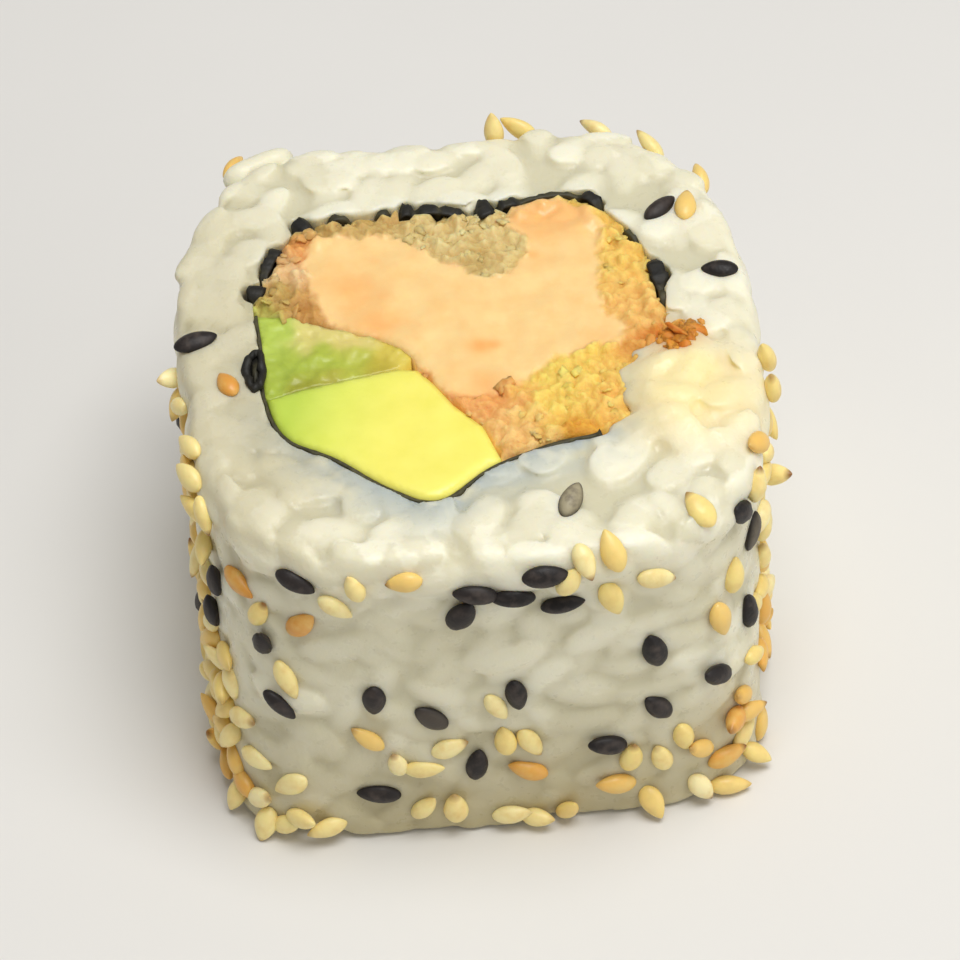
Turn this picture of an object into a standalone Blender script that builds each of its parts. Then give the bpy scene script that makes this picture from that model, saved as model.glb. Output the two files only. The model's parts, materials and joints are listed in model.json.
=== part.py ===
"""One cut piece of an uramaki roll, standing on a cut face.

A ring of sushi rice, with sesame seeds pressed into its outside, holds a sheet of nori that wraps
a strip of breadcrumbed salmon and two strips of avocado. Every filling runs from cut to cut.
+Z is up and along the roll, +X is right and -Y is the side that faces the viewer. The origin is
the middle of the base, and the places below are measured from the roll's axis, close to it.
"""

import math
import random

import bmesh
import bpy
from mathutils import Matrix, Vector, geometry, noise
from mathutils.bvhtree import BVHTree

MM = 0.001
TURN = 2 * math.pi

# The rice ring: a rounded square in plan that leans a little, squarer at its foot, and with two
# corners of the upper cut (degrees round, millimetres out, degrees wide) that stand out.
HEIGHT = 29.0 * MM
HALF_WIDTH = 20.3 * MM
HALF_DEPTH = 21.1 * MM
TOP_SQUARENESS = 3.1
FOOT_SQUARENESS = 5.2
TOP_PULL = 0.4 * MM
TOP_PULL_AT = math.radians(135)
TOP_CORNERS = ((60, 0.5, 14), (122, 1.6, 9))
FOOT_LEAN = -1.1 * MM
LEAN = 1.05 * MM
LEAN_TO = math.radians(34)
TOP_RIM = 1.8 * MM
FOOT_RIM = 0.9 * MM

# The middle of the base, where the part's origin is, from the roll's axis.
BASE_MIDDLE = Vector((0.3, 0.8, 0)) * MM

# The relief of the pressed grains: low domes with creases between them.
GRAIN_PITCH = 3.6 * MM
DOME_STEEPNESS = 1.6
SIDE_RELIEF = 0.8 * MM
CUT_RELIEF = 0.5 * MM
CUT_RELIEF_LEVEL = 0.7

# The nori, and the clearances between neighbours.
NORI_THICKNESS = 0.45 * MM
CLEARANCE = 0.32 * MM
FOOT_CLEARANCE = 0.3 * MM
NORI_RIM_WAVE = 0.35 * MM
NORI_WAVE_LENGTH = 2.2 * MM

# The fillings' upper cuts: the crumb coat's crags and the flesh's flakes, the wedge's slope up
# towards the front, and how far the slice lies below the rest.
COAT_DEPTH = 3.2 * MM
CRAG_LENGTH = 1.1 * MM
CRAG_RISE = 0.9 * MM
CRAG_BITE = 0.7 * MM
COAT_DROP = 0.2 * MM
FLAKE_LENGTH = 2.6 * MM
FLAKE_RISE = 0.25 * MM
WEDGE_SLOPE = 0.03
SLICE_DROP = 0.45 * MM
SLICE_WAVE = 0.2 * MM
SLICE_WAVE_LENGTH = 3 * MM

# Grains and seeds.
GRAIN_SIZE = (5.8 * MM, 2.9 * MM, 2.4 * MM)
WHITE_SEED_SIZE = (3.3 * MM, 1.8 * MM, 1.15 * MM)
BLACK_SEED_SIZE = (3.5 * MM, 1.95 * MM, 1.15 * MM)
SEED_SPACING = 2.2 * MM
SEED_SUNK = 0.36
SEED_TILT = math.radians(25)
PLACING_TRIES = 200
GRAIN_SUNK = 0.72
RIM_GRAINS = 22
RIM_GRAIN_DEPTH = (1.7 * MM, 2.4 * MM)
SIDE_GRAINS = 14
SIDE_GRAIN_BAND = (0.16, 0.76)
GOLDEN_SHARE = 0.618
CORNER_GRAIN_AT = math.radians(122)
CORNER_GRAIN_DEPTH = 1.9 * MM
CORNER_GRAIN_SUNK = 0.25
RANDOM_SEED = 5

# Each ring of a grain or a seed: its share of the way along, and of the full girth.
GRAIN_RINGS = ((0.14, 0.7), (0.5, 1.0), (0.86, 0.7))
SEED_RINGS = ((0.22, 0.86), (0.62, 0.8))
LUMP_SIDES = 6

# Meshing.
RING_STEPS = 86
SIDE_ROWS = 14
CUT_ROWS = 4
CURVE_STEPS = 12
FILLING_SPACING = 1.15 * MM
AVOCADO_SPACING = 1.9 * MM
BORDER_SHARE = 0.85
NORMAL_STEP = 0.01
SHARP_FROM = math.radians(50)

# Plan outlines in millimetres, seen from above, anticlockwise.
FILLING_OUTLINE = (
    (14.6, 3.0), (13.9, 7.6), (11.8, 11.4), (9.8, 14.0), (6.2, 14.1), (2.4, 13.1),
    (-1.6, 13.8), (-6.5, 14.0), (-10.4, 13.2), (-12.8, 9.8), (-13.9, 6.0), (-13.7, 1.5),
    (-13.6, -3.5), (-12.3, -7.4), (-9.0, -9.8), (-5.4, -13.1), (-2.2, -14.6),
    (1.5, -12.0), (5.8, -10.3), (10.5, -9.2), (12.6, -5.8), (14.1, -2.0),
)
WEDGE_CUT = (
    (-13.6, -3.5), (-11.0, -2.7), (-7.5, -2.1), (-4.3, -1.6), (-2.9, -1.9), (-1.9, -3.4),
    (-0.6, -5.8), (1.3, -8.2), (2.2, -11.6),
)
SLICE_CUT = ((-4.4, -1.6), (-3.2, -0.7), (-4.8, 0.9), (-6.8, 2.0), (-9.4, 3.2), (-11.4, 4.3), (-13.9, 4.8))

# The nori's two ends stop short of each other here, in degrees round the roll, and the rice
# closes in on the filling over a few degrees.
NORI_GAP = (318, 356)
GAP_FADE = 8

# The seeds that show from the front: degrees round the roll, height in millimetres, the degrees by
# which the pointed end turns up from level, and the degrees by which it stands out.
BLACK_SEEDS = (
    (236, 26.1, 340, 0), (229, 19.3, 80, 20), (232, 14.0, 315, 0), (248, 14.9, 265, 0),
    (258, 12.6, 135, 0), (247, 4.9, 175, 0), (266, 7.4, 80, 0), (266, 23.5, 60, 5),
    (269, 25.5, 170, 0), (276, 25.0, 180, 0), (282, 27.3, 0, 0), (285, 23.8, 10, 0),
    (275, 14.6, 275, 0), (291, 8.5, 160, 10), (300, 17.5, 100, 0), (300, 11.4, 125, 0),
    (310, 13.0, 140, 15), (319, 26.0, 130, 0), (324, 21.7, 250, 0), (320, 15.4, 95, 0),
    (215, 20.7, 85, 10), (213, 17.0, 95, 10),
)
WHITE_SEEDS = (
    (223, 23.1, 350, 0), (228, 21.7, 65, 0), (236, 21.8, 50, 0), (243, 24.3, 325, 0),
    (247, 26.6, 105, 0), (256, 27.1, 190, 0), (220, 12.5, 295, 0), (233, 16.2, 295, 0),
    (223, 10.0, 20, 0), (226, 6.8, 355, 0), (227, 3.3, 35, 10), (238, 1.7, 195, 20),
    (246, 10.8, 135, 0), (251, 8.3, 100, 5), (256, 7.7, 10, 0), (255, 3.4, 55, 10),
    (261, 9.4, 15, 0), (261, 3.0, 90, 5), (271, 13.5, 295, 0), (272, 9.7, 95, 0),
    (277, 9.1, 295, 0), (276, 6.2, 155, 0), (272, 1.7, 10, 10), (277, 1.3, 15, 25),
    (283, 1.4, 70, 20), (294, 28.4, 100, 0), (289, 28.0, 285, 10), (286, 26.6, 60, 0),
    (293, 24.1, 285, 5), (301, 24.8, 335, 0), (311, 28.4, 90, 0), (295, 6.6, 80, 5),
    (292, 4.0, 160, 10), (298, 1.3, 295, 35), (300, 5.9, 105, 0), (304, 7.4, 280, 0),
    (306, 1.6, 300, 20), (317, 1.6, 300, 45), (316, 8.2, 135, 10), (319, 11.5, 335, 10),
    (312, 17.8, 275, 5), (316, 20.8, 75, 0), (324, 26.8, 70, 0), (329, 28.3, 140, 10),
    (337, 21.8, 130, 50), (343, 28.0, 100, 20), (350, 28.2, 100, 20), (51, 28.2, 10, 25),
    (61, 28.2, 355, 30), (74, 28.2, 20, 40), (79, 28.2, 85, 50), (174, 26.2, 45, 45),
    (181, 25.8, 220, 20), (200, 28.2, 200, 10),
)

# The seeds on the upper cut: degrees round the roll, millimetres from its axis, the degrees by
# which the pointed end turns from +X, and whether the seed is black.
CUT_SEEDS = (
    (292, 17.6, 65, True), (38, 19.0, 40, True), (14, 18.6, 175, True), (172, 18.6, 10, True),
    (187, 16.4, 115, False), (34, 21.0, 80, False),
)

# Where the roll picked up more seeds: degrees round it from and to, share of the height from and
# to, and how many white and black seeds lie there.
SEED_PATCHES = (
    (193, 201, 0.14, 0.70, 5, 0),
    (203, 222, 0.05, 0.42, 11, 0),
    (205, 217, 0.42, 0.66, 2, 0),
    (222, 233, 0.05, 0.20, 2, 0),
    (327, 338, 0.10, 0.70, 6, 0),
    (342, 380, 0.08, 0.90, 2, 3),
    (20, 65, 0.08, 0.90, 5, 3),
    (65, 115, 0.08, 0.90, 5, 3),
    (115, 160, 0.08, 0.92, 3, 3),
    (160, 193, 0.08, 0.85, 3, 2),
)


def rounded_square(angle, squareness):
    """Distance from the middle of a rounded square of the roll's width and depth to its edge."""
    across = abs(math.cos(angle) / HALF_WIDTH) ** squareness
    along = abs(math.sin(angle) / HALF_DEPTH) ** squareness
    return (across + along) ** (-1 / squareness)


def rice_radius(angle, share):
    """Distance from the roll's axis to the rice's outside at a share of the height."""
    top = rounded_square(angle, TOP_SQUARENESS) + TOP_PULL * math.cos(2 * (angle - TOP_PULL_AT))
    for middle, out, width in TOP_CORNERS:
        top += out * MM * math.exp(-((math.degrees(angle) % 360 - middle) / width) ** 2)
    foot = rounded_square(angle, FOOT_SQUARENESS) + FOOT_LEAN * math.cos(angle)
    return foot + (top - foot) * share + LEAN * math.cos(angle - LEAN_TO)


def rim_inset(depth, rim):
    """How far a rounded edge stands back, at a depth below the cut."""
    left = 1 - min(max(depth / rim, 0.0), 1.0)
    return rim * (1 - math.sqrt(1 - left ** 2))


def side_point(angle, height):
    """A point on the rice's smooth outside, before its relief."""
    radius = rice_radius(angle, height / HEIGHT)
    radius -= rim_inset(HEIGHT - height, TOP_RIM) + rim_inset(height, FOOT_RIM)
    return Vector((radius * math.cos(angle), radius * math.sin(angle), height))


def side_normal(angle, height):
    """The outward direction of the rice's smooth outside."""
    tangent = side_point(angle + NORMAL_STEP, height) - side_point(angle - NORMAL_STEP, height)
    above = side_point(angle, min(height + MM, HEIGHT))
    rise = above - side_point(angle, max(height - MM, 0.0))
    return tangent.cross(rise).normalized()


def grain_relief(point):
    """Height of the pressed grains' bumps here, from 0 between grains to 1 on top of one."""
    nearest, second = noise.voronoi(point / GRAIN_PITCH)[0][:2]
    return min(1.0, DOME_STEEPNESS * (second - nearest))


def smooth_loop(corners, count):
    """count evenly spaced points along the closed Catmull-Rom curve through the corners."""
    fine = []
    total = len(corners)
    for i in range(total):
        before, start, end, after = (Vector(corners[(i + k) % total]) for k in (-1, 0, 1, 2))
        for step in range(CURVE_STEPS):
            t = step / CURVE_STEPS
            fine.append(0.5 * (
                2 * start
                + (end - before) * t
                + (2 * before - 5 * start + 4 * end - after) * t ** 2
                + (3 * start - before - 3 * end + after) * t ** 3
            ))
    return evenly(fine + fine[:1], count + 1)[:-1]


def evenly(points, count):
    """count points at equal distances along an open line through points."""
    reach = [0.0]
    for a, b in zip(points, points[1:]):
        reach.append(reach[-1] + (b - a).length)
    spaced = []
    k = 0
    for i in range(count):
        want = reach[-1] * i / (count - 1)
        while k < len(points) - 2 and reach[k + 1] < want:
            k += 1
        part = (want - reach[k]) / (reach[k + 1] - reach[k])
        spaced.append(points[k].lerp(points[k + 1], min(1.0, part)))
    return spaced


def respaced(loop, spacing):
    """The closed loop with its points about spacing apart."""
    length = sum((b - a).length for a, b in zip(loop, loop[1:] + loop[:1]))
    return evenly(loop + loop[:1], round(length / spacing) + 1)[:-1]


def offset_loop(loop, distances):
    """The closed loop moved outwards by one distance, or by a distance for each point."""
    moved = []
    for i, point in enumerate(loop):
        along = (loop[(i + 1) % len(loop)] - loop[i - 1]).normalized()
        out = Vector((along.y, -along.x))
        distance = distances[i] if isinstance(distances, list) else distances
        moved.append(point + out * distance)
    return moved


def material(name, colour, roughness):
    made = bpy.data.materials.new(name)
    made.use_nodes = True
    shader = made.node_tree.nodes["Principled BSDF"]
    shader.inputs["Base Color"].default_value = (*colour, 1)
    shader.inputs["Roughness"].default_value = roughness
    made.diffuse_color = (*colour, 1)
    return made


def add_object(name, bm, finish):
    """Links the bmesh as an object, smooth but for its sharp cut edges."""
    mesh = bpy.data.meshes.new(name)
    bmesh.ops.recalc_face_normals(bm, faces=bm.faces)
    bm.to_mesh(mesh)
    bm.free()
    mesh.shade_smooth()
    mesh.set_sharp_from_angle(angle=SHARP_FROM)
    mesh.materials.append(finish)
    made = bpy.data.objects.new(name, mesh)
    made.location = -BASE_MIDDLE
    bpy.context.scene.collection.objects.link(made)
    return made


def skin_rings(bm, rings):
    """Quads between neighbouring rings of vertices, the last joined to the first."""
    for ring, following in zip(rings, rings[1:] + rings[:1]):
        for i in range(len(ring)):
            k = (i + 1) % len(ring)
            bm.faces.new((ring[i], ring[k], following[k], following[i]))


def in_gap(point):
    """1 inside the nori's gap and 0 outside, fading over a few degrees at each end."""
    angle = math.degrees(math.atan2(point.y, point.x)) % 360
    inside = min(angle - NORI_GAP[0], NORI_GAP[1] - angle)
    return max(0.0, min(1.0, 0.5 + inside / GAP_FADE))


def rice_core(wall):
    """The ring of rice round the wall loop, with low bumps of the grains' size."""
    bm = bmesh.new()
    rings = []

    def add_ring(points):
        rings.append([bm.verts.new(p) for p in points])

    angles = [math.atan2(p.y, p.x) for p in wall]
    for row in range(SIDE_ROWS):
        share = row / (SIDE_ROWS - 1)
        height = HEIGHT * (0.5 - 0.5 * math.cos(math.pi * share)) if row else 0.0
        points = []
        for angle in angles:
            point = side_point(angle, height)
            low = min(1.0, height / FOOT_RIM)
            relief = SIDE_RELIEF * (grain_relief(point) - 0.5) * low
            points.append(point + Vector((point.x, point.y, 0)).normalized() * relief)
        add_ring(points)
    outer = [v.co.copy() for v in rings[-1]]
    for row in range(1, CUT_ROWS + 1):
        share = row / CUT_ROWS
        points = []
        for edge, inner in zip(outer, wall):
            point = edge.lerp(Vector((inner.x, inner.y, HEIGHT)), share)
            relief = CUT_RELIEF * (grain_relief(point) - CUT_RELIEF_LEVEL)
            point.z = HEIGHT + relief * (1 - share ** 4)
            points.append(point)
        add_ring(points)
    add_ring([Vector((p.x, p.y, 0)) for p in wall])
    skin_rings(bm, rings)
    return bm


def lump(size, stations):
    """A closed grain or seed along X: an elliptic ring at each station, between two poles."""
    length, width, thickness = size
    bm = bmesh.new()
    rings = []
    for share, girth in stations:
        rings.append([
            bm.verts.new((
                (share - 0.5) * length,
                0.5 * width * girth * math.cos(TURN * k / LUMP_SIDES),
                0.5 * thickness * girth * math.sin(TURN * k / LUMP_SIDES),
            ))
            for k in range(LUMP_SIDES)
        ])
    tail = bm.verts.new((-0.5 * length, 0, 0))
    tip = bm.verts.new((0.5 * length, 0, 0))
    for ring, following in zip(rings, rings[1:]):
        for i in range(LUMP_SIDES):
            k = (i + 1) % LUMP_SIDES
            bm.faces.new((ring[i], ring[k], following[k], following[i]))
    for i in range(LUMP_SIDES):
        k = (i + 1) % LUMP_SIDES
        bm.faces.new((tail, rings[0][k], rings[0][i]))
        bm.faces.new((tip, rings[-1][i], rings[-1][k]))
    return bm


def frame_on(normal, heading, tilt):
    """A rotation that lays X along the surface at a heading and Z along the normal."""
    level = Vector((-normal.y, normal.x, 0)).normalized()
    up = normal.cross(level)
    forward = (level * math.cos(heading) + up * math.sin(heading)) * math.cos(tilt)
    forward += normal * math.sin(tilt)
    side = normal.cross(forward).normalized()
    return Matrix((forward, side, forward.cross(side))).transposed()


def lay(bm, point, turned):
    bmesh.ops.transform(bm, matrix=Matrix.Translation(point) @ turned.to_4x4(), verts=bm.verts)
    return bm


def lay_on_side(bm, core, thickness, angle, height, heading, tilt, sunk):
    """Lays a lump on the core's outside, sunk by a share of its thickness."""
    outward = Vector((math.cos(angle), math.sin(angle), 0))
    far_out = outward * 2 * HALF_DEPTH + Vector((0, 0, height))
    normal = side_normal(angle, height)
    centre = core.ray_cast(far_out, -outward)[0] + normal * thickness * (0.5 - sunk)
    return lay(bm, centre, frame_on(normal, heading, tilt))


def lay_on_cut(bm, core, thickness, angle, radius, heading, sunk):
    """Lays a lump flat on the core's upper cut, sunk by a share of its thickness."""
    above = Vector((radius * math.cos(angle), radius * math.sin(angle), 2 * HEIGHT))
    centre = core.ray_cast(above, Vector((0, 0, -1)))[0]
    centre.z += thickness * (0.5 - sunk)
    return lay(bm, centre, Matrix.Rotation(heading, 3, "Z"))


def seed_size(is_black):
    return BLACK_SEED_SIZE if is_black else WHITE_SEED_SIZE


def clear_of(point, taken, spacing):
    return all((point - other).length > spacing for other in taken)


def side_seeds(draw):
    """(angle, height, heading, tilt, is black) of each seed on the outside."""
    seeds = []
    taken = []

    def add(angle, height, heading, tilt, is_black):
        length, width, _ = seed_size(is_black)
        reach = length * abs(math.sin(heading)) * math.cos(tilt) + width * abs(math.cos(heading))
        clear = max(height, 0.5 * reach)
        taken.append(side_point(angle, clear))
        seeds.append((angle, clear, heading, tilt, is_black))

    for rows, is_black in ((BLACK_SEEDS, True), (WHITE_SEEDS, False)):
        for angle, height, heading, tilt in rows:
            add(math.radians(angle), height * MM, math.radians(heading), math.radians(tilt), is_black)
    for start, end, low, high, white, black in SEED_PATCHES:
        for number in range(white + black):
            for attempt in range(PLACING_TRIES):
                angle = math.radians(draw.uniform(start, end))
                height = HEIGHT * draw.uniform(low, high)
                if clear_of(side_point(angle, height), taken, SEED_SPACING):
                    break
            heading = draw.uniform(0, TURN)
            add(angle, height, heading, SEED_TILT * draw.uniform(-0.3, 1.0), number < black)
    return seeds


def proud_grains(draw):
    """(angle, height, heading, share sunk) of the grains that stand out."""
    grains = [(CORNER_GRAIN_AT, HEIGHT - CORNER_GRAIN_DEPTH, 0.0, CORNER_GRAIN_SUNK)]
    for number in range(RIM_GRAINS):
        angle = TURN * (number + draw.uniform(-0.3, 0.3)) / RIM_GRAINS
        height = HEIGHT - draw.uniform(*RIM_GRAIN_DEPTH)
        grains.append((angle, height, draw.uniform(-0.4, 0.4), GRAIN_SUNK))
    low, high = SIDE_GRAIN_BAND
    for number in range(SIDE_GRAINS):
        angle = TURN * (number + draw.uniform(-0.4, 0.4)) / SIDE_GRAINS
        height = HEIGHT * (low + (high - low) * ((number * GOLDEN_SHARE) % 1))
        grains.append((angle, height, draw.uniform(0, TURN), GRAIN_SUNK))
    return grains


def make_rice(wall):
    """The rice ring with its proud grains and seeds fused on."""
    finish = material("rice", (0.78, 0.75, 0.60), 0.45)
    draw = random.Random(RANDOM_SEED)
    bare = rice_core(wall)
    core = BVHTree.FromBMesh(bare)
    rice = add_object("rice", bare, finish)
    pieces = bpy.data.collections.new("fused")
    bpy.context.scene.collection.children.link(pieces)
    lumps = []
    for angle, height, heading, tilt, is_black in side_seeds(draw):
        seed = lump(seed_size(is_black), SEED_RINGS)
        thickness = seed_size(is_black)[2]
        lumps.append(lay_on_side(seed, core, thickness, angle, height, heading, tilt, SEED_SUNK))
    for angle, radius, heading, is_black in CUT_SEEDS:
        seed = lump(seed_size(is_black), SEED_RINGS)
        thickness = seed_size(is_black)[2]
        place = (math.radians(angle), radius * MM, math.radians(heading))
        lumps.append(lay_on_cut(seed, core, thickness, *place, SEED_SUNK))
    for angle, height, heading, sunk in proud_grains(draw):
        grain = lump(GRAIN_SIZE, GRAIN_RINGS)
        lumps.append(lay_on_side(grain, core, GRAIN_SIZE[2], angle, height, heading, 0.0, sunk))
    for bm in lumps:
        piece = add_object("lump", bm, finish)
        bpy.context.scene.collection.objects.unlink(piece)
        pieces.objects.link(piece)
    fuse(rice, pieces)
    return rice


def fuse(target, pieces):
    """Joins a collection's objects to the target, and removes them and any loose scrap."""
    union = target.modifiers.new("fuse", "BOOLEAN")
    union.operation = "UNION"
    union.operand_type = "COLLECTION"
    union.collection = pieces
    union.solver = "MANIFOLD"
    graph = bpy.context.evaluated_depsgraph_get()
    joined = bpy.data.meshes.new_from_object(target.evaluated_get(graph))
    target.modifiers.clear()
    target.data = joined
    for piece in list(pieces.objects):
        bpy.data.objects.remove(piece)
    bpy.data.collections.remove(pieces)
    keep_largest_body(joined)


def keep_largest_body(mesh):
    """Drops the scraps and the inner skins of sealed hollows that a union leaves."""
    bm = bmesh.new()
    bm.from_mesh(mesh)
    left = set(bm.faces)
    bodies = []
    while left:
        body = []
        reached = [left.pop()]
        while reached:
            face = reached.pop()
            body.append(face)
            for edge in face.edges:
                for other in edge.link_faces:
                    if other in left:
                        left.discard(other)
                        reached.append(other)
        bodies.append(body)
    bodies.sort(key=len, reverse=True)
    for body in bodies[1:]:
        bmesh.ops.delete(bm, geom=body, context="FACES")
    bm.to_mesh(mesh)
    bm.free()


def plan_noise(point, length):
    """Smooth noise over the plan, from -1 to 1, with waves of about this length."""
    return noise.noise(Vector((*point, 0)) / length)


def make_nori(filling):
    """The strip of nori round the filling, open at its gap, with an uneven top edge."""
    inner = offset_loop(filling, 0.5 * CLEARANCE)
    outer = offset_loop(filling, 0.5 * CLEARANCE + NORI_THICKNESS)
    kept = [i for i, p in enumerate(filling) if in_gap(p) == 0]
    first = next(n for n, i in enumerate(kept) if (i - 1) % len(filling) not in kept)
    kept = kept[first:] + kept[:first]
    bm = bmesh.new()
    rings = []
    for i in kept:
        top = HEIGHT + NORI_RIM_WAVE * plan_noise(filling[i], NORI_WAVE_LENGTH)
        rings.append([
            bm.verts.new((*inner[i], FOOT_CLEARANCE)),
            bm.verts.new((*outer[i], FOOT_CLEARANCE)),
            bm.verts.new((*outer[i], top)),
            bm.verts.new((*inner[i], top)),
        ])
    for ring, following in zip(rings, rings[1:]):
        for i in range(4):
            k = (i + 1) % 4
            bm.faces.new((ring[i], ring[k], following[k], following[i]))
    bm.faces.new(rings[0][::-1])
    bm.faces.new(rings[-1])
    return add_object("nori", bm, material("nori", (0.025, 0.035, 0.02), 0.5))


def inside(point, outline):
    """Whether a plan point lies in the outline, by counting crossings to its right."""
    crossings = 0
    for a, b in zip(outline, outline[1:] + outline[:1]):
        if (a.y > point.y) != (b.y > point.y):
            if point.x < a.x + (point.y - a.y) * (b.x - a.x) / (b.y - a.y):
                crossings += 1
    return crossings % 2 == 1


def from_edge(point, outline):
    """Distance from a plan point to the nearest corner of the outline."""
    return min((point - other).length for other in outline)


def cut_strip(name, outline, spacing, relief, finish):
    """A filling that runs from cut to cut, with relief on its upper cut."""
    filler = []
    low = Vector((min(p.x for p in outline), min(p.y for p in outline)))
    high = Vector((max(p.x for p in outline), max(p.y for p in outline)))
    row_height = spacing * math.sqrt(0.75)
    rows = int((high.y - low.y) / row_height)
    columns = int((high.x - low.x) / spacing)
    for row in range(rows + 1):
        for column in range(columns + 1):
            shift = 0.5 * (row % 2)
            point = low + Vector(((column + shift) * spacing, row * row_height))
            if inside(point, outline) and from_edge(point, outline) > 0.6 * spacing:
                filler.append(point)
    border = list(range(len(outline)))
    inside_border = 1
    points, _, triangles = geometry.delaunay_2d_cdt(
        outline + filler, [], [border], inside_border, 1e-9)[:3]
    bm = bmesh.new()
    top = [bm.verts.new((p.x, p.y, HEIGHT + relief(p))) for p in points]
    for triangle in triangles:
        bm.faces.new([top[i] for i in triangle])
    foot = [bm.verts.new((p.x, p.y, FOOT_CLEARANCE)) for p in outline]
    bm.faces.new(foot[::-1])
    for i in border:
        k = (i + 1) % len(border)
        bm.faces.new((top[k], top[i], foot[i], foot[k]))
    return add_object(name, bm, finish)


def between(loop, start, end):
    """The loop's points from the one nearest start round to the one nearest end."""
    first = min(range(len(loop)), key=lambda i: (loop[i] - start).length)
    last = min(range(len(loop)), key=lambda i: (loop[i] - end).length)
    return [loop[(first + i) % len(loop)] for i in range((last - first) % len(loop) + 1)]


def shrink(outline, distance):
    return offset_loop(outline, -distance)


def crumb_depth(point, filling):
    """How deep in the rough coat a plan point of the breaded strip lies: 1 at its outside."""
    return max(0.0, 1 - from_edge(point, filling) / COAT_DEPTH)


def filling_pieces(filling):
    """The plan outlines of the breaded salmon, the avocado wedge and the avocado slice."""
    wedge_cut = [Vector(p) * MM for p in WEDGE_CUT]
    slice_cut = [Vector(p) * MM for p in SLICE_CUT]
    rind = between(filling, wedge_cut[0], wedge_cut[-1])
    wedge = rind + wedge_cut[-2:0:-1]
    skin = between(filling, slice_cut[-1], wedge_cut[0])
    flat_slice = skin + wedge_cut[1:4] + slice_cut[:-1]
    coat = between(filling, wedge_cut[-1], slice_cut[-1])
    salmon = coat + slice_cut[-2:0:-1] + wedge_cut[4:-1]
    return salmon, wedge, flat_slice


def make_salmon(outline, filling):
    """The breadcrumbed strip: rough where its coat shows, and nearly smooth over the flesh."""

    def crag(point):
        return (plan_noise(point, CRAG_LENGTH) + 0.2) * crumb_depth(point, filling)

    def relief(point):
        flakes = FLAKE_RISE * plan_noise(point, FLAKE_LENGTH)
        return flakes + CRAG_RISE * crag(point) - COAT_DROP * crumb_depth(point, filling)

    border = shrink(respaced(outline, BORDER_SHARE * FILLING_SPACING), 0.5 * CLEARANCE)
    bites = [-CRAG_BITE * max(0.0, crag(p)) for p in border]
    finish = material("breaded_salmon", (0.93, 0.58, 0.27), 0.5)
    cut_strip("breaded_salmon", offset_loop(border, bites), FILLING_SPACING, relief, finish)


def make_avocado(name, outline, colour, relief):
    """A smooth strip of avocado."""
    border = shrink(respaced(outline, BORDER_SHARE * AVOCADO_SPACING), 0.5 * CLEARANCE)
    cut_strip(name, border, AVOCADO_SPACING, relief, material(name, colour, 0.35))


def wedge_relief(point):
    return -WEDGE_SLOPE * point.y - 0.5 * CUT_RELIEF


def slice_relief(point):
    return SLICE_WAVE * plan_noise(point, SLICE_WAVE_LENGTH) - SLICE_DROP


def main():
    for existing in list(bpy.data.objects):
        bpy.data.objects.remove(existing)
    filling = smooth_loop([Vector(p) * MM for p in FILLING_OUTLINE], RING_STEPS)
    wrap = 1.5 * CLEARANCE + NORI_THICKNESS
    bare = 0.5 * CLEARANCE
    clearances = [wrap + (bare - wrap) * in_gap(p) for p in filling]
    make_rice(offset_loop(filling, clearances))
    make_nori(filling)
    salmon, wedge, flat_slice = filling_pieces(filling)
    make_salmon(salmon, filling)
    make_avocado("avocado_wedge", wedge, (0.89, 0.84, 0.18), wedge_relief)
    make_avocado("avocado_slice", flat_slice, (0.50, 0.53, 0.09), slice_relief)


main()
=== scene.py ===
"""The looks of one cut piece of an uramaki roll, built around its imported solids.

Each piece here stands for a solid of the same form and adds what the solid leaves out: the single
rice grains, plump seeds with their tips, the crumbs of the coat, and the finish of every surface.
Lengths are in metres, +Z is up, and -Y is the side that faces the photograph's camera.
"""

import json
import math
import random

import bmesh
import bpy
import numpy as np
from mathutils import Euler, Matrix, Vector, geometry, kdtree, noise
from mathutils.bvhtree import BVHTree

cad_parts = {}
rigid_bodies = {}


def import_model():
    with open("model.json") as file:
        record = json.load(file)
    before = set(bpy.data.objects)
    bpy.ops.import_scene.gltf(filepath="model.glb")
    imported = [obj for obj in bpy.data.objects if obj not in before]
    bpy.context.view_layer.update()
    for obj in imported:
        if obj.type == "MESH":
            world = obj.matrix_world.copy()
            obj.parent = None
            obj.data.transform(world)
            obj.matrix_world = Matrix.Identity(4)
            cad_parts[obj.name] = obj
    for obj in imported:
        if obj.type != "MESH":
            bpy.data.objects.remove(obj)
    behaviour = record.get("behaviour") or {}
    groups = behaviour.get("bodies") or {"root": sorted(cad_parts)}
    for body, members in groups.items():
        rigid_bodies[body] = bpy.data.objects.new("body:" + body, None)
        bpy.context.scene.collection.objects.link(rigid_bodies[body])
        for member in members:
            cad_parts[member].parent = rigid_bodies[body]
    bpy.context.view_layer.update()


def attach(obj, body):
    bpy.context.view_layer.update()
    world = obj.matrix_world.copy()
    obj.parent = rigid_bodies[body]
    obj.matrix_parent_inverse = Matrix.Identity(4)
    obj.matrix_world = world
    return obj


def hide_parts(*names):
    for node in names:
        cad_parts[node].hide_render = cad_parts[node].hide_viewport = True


MM = 0.001
TURN = 2 * math.pi

# The camera stands where the photograph's stood, and looks at the middle of the piece.
CAMERA_ELEVATION = math.radians(45)
CAMERA_ROLL = math.radians(-5.5)
CAMERA_DISTANCE = 281.26 * MM
CAMERA_TARGET = Vector((0.8, -0.8, 29.0)) * MM
AIM = Vector((0.7, -7.3, 22.5)) * MM
LENS = 150
SENSOR = 36

FLOOR_SIZE = 3.0
FLOOR_GAP = 0.02 * MM
SKY_COLOUR = (1.0, 0.98, 0.94, 1)
SKY_STRENGTH = 0.3

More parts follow.
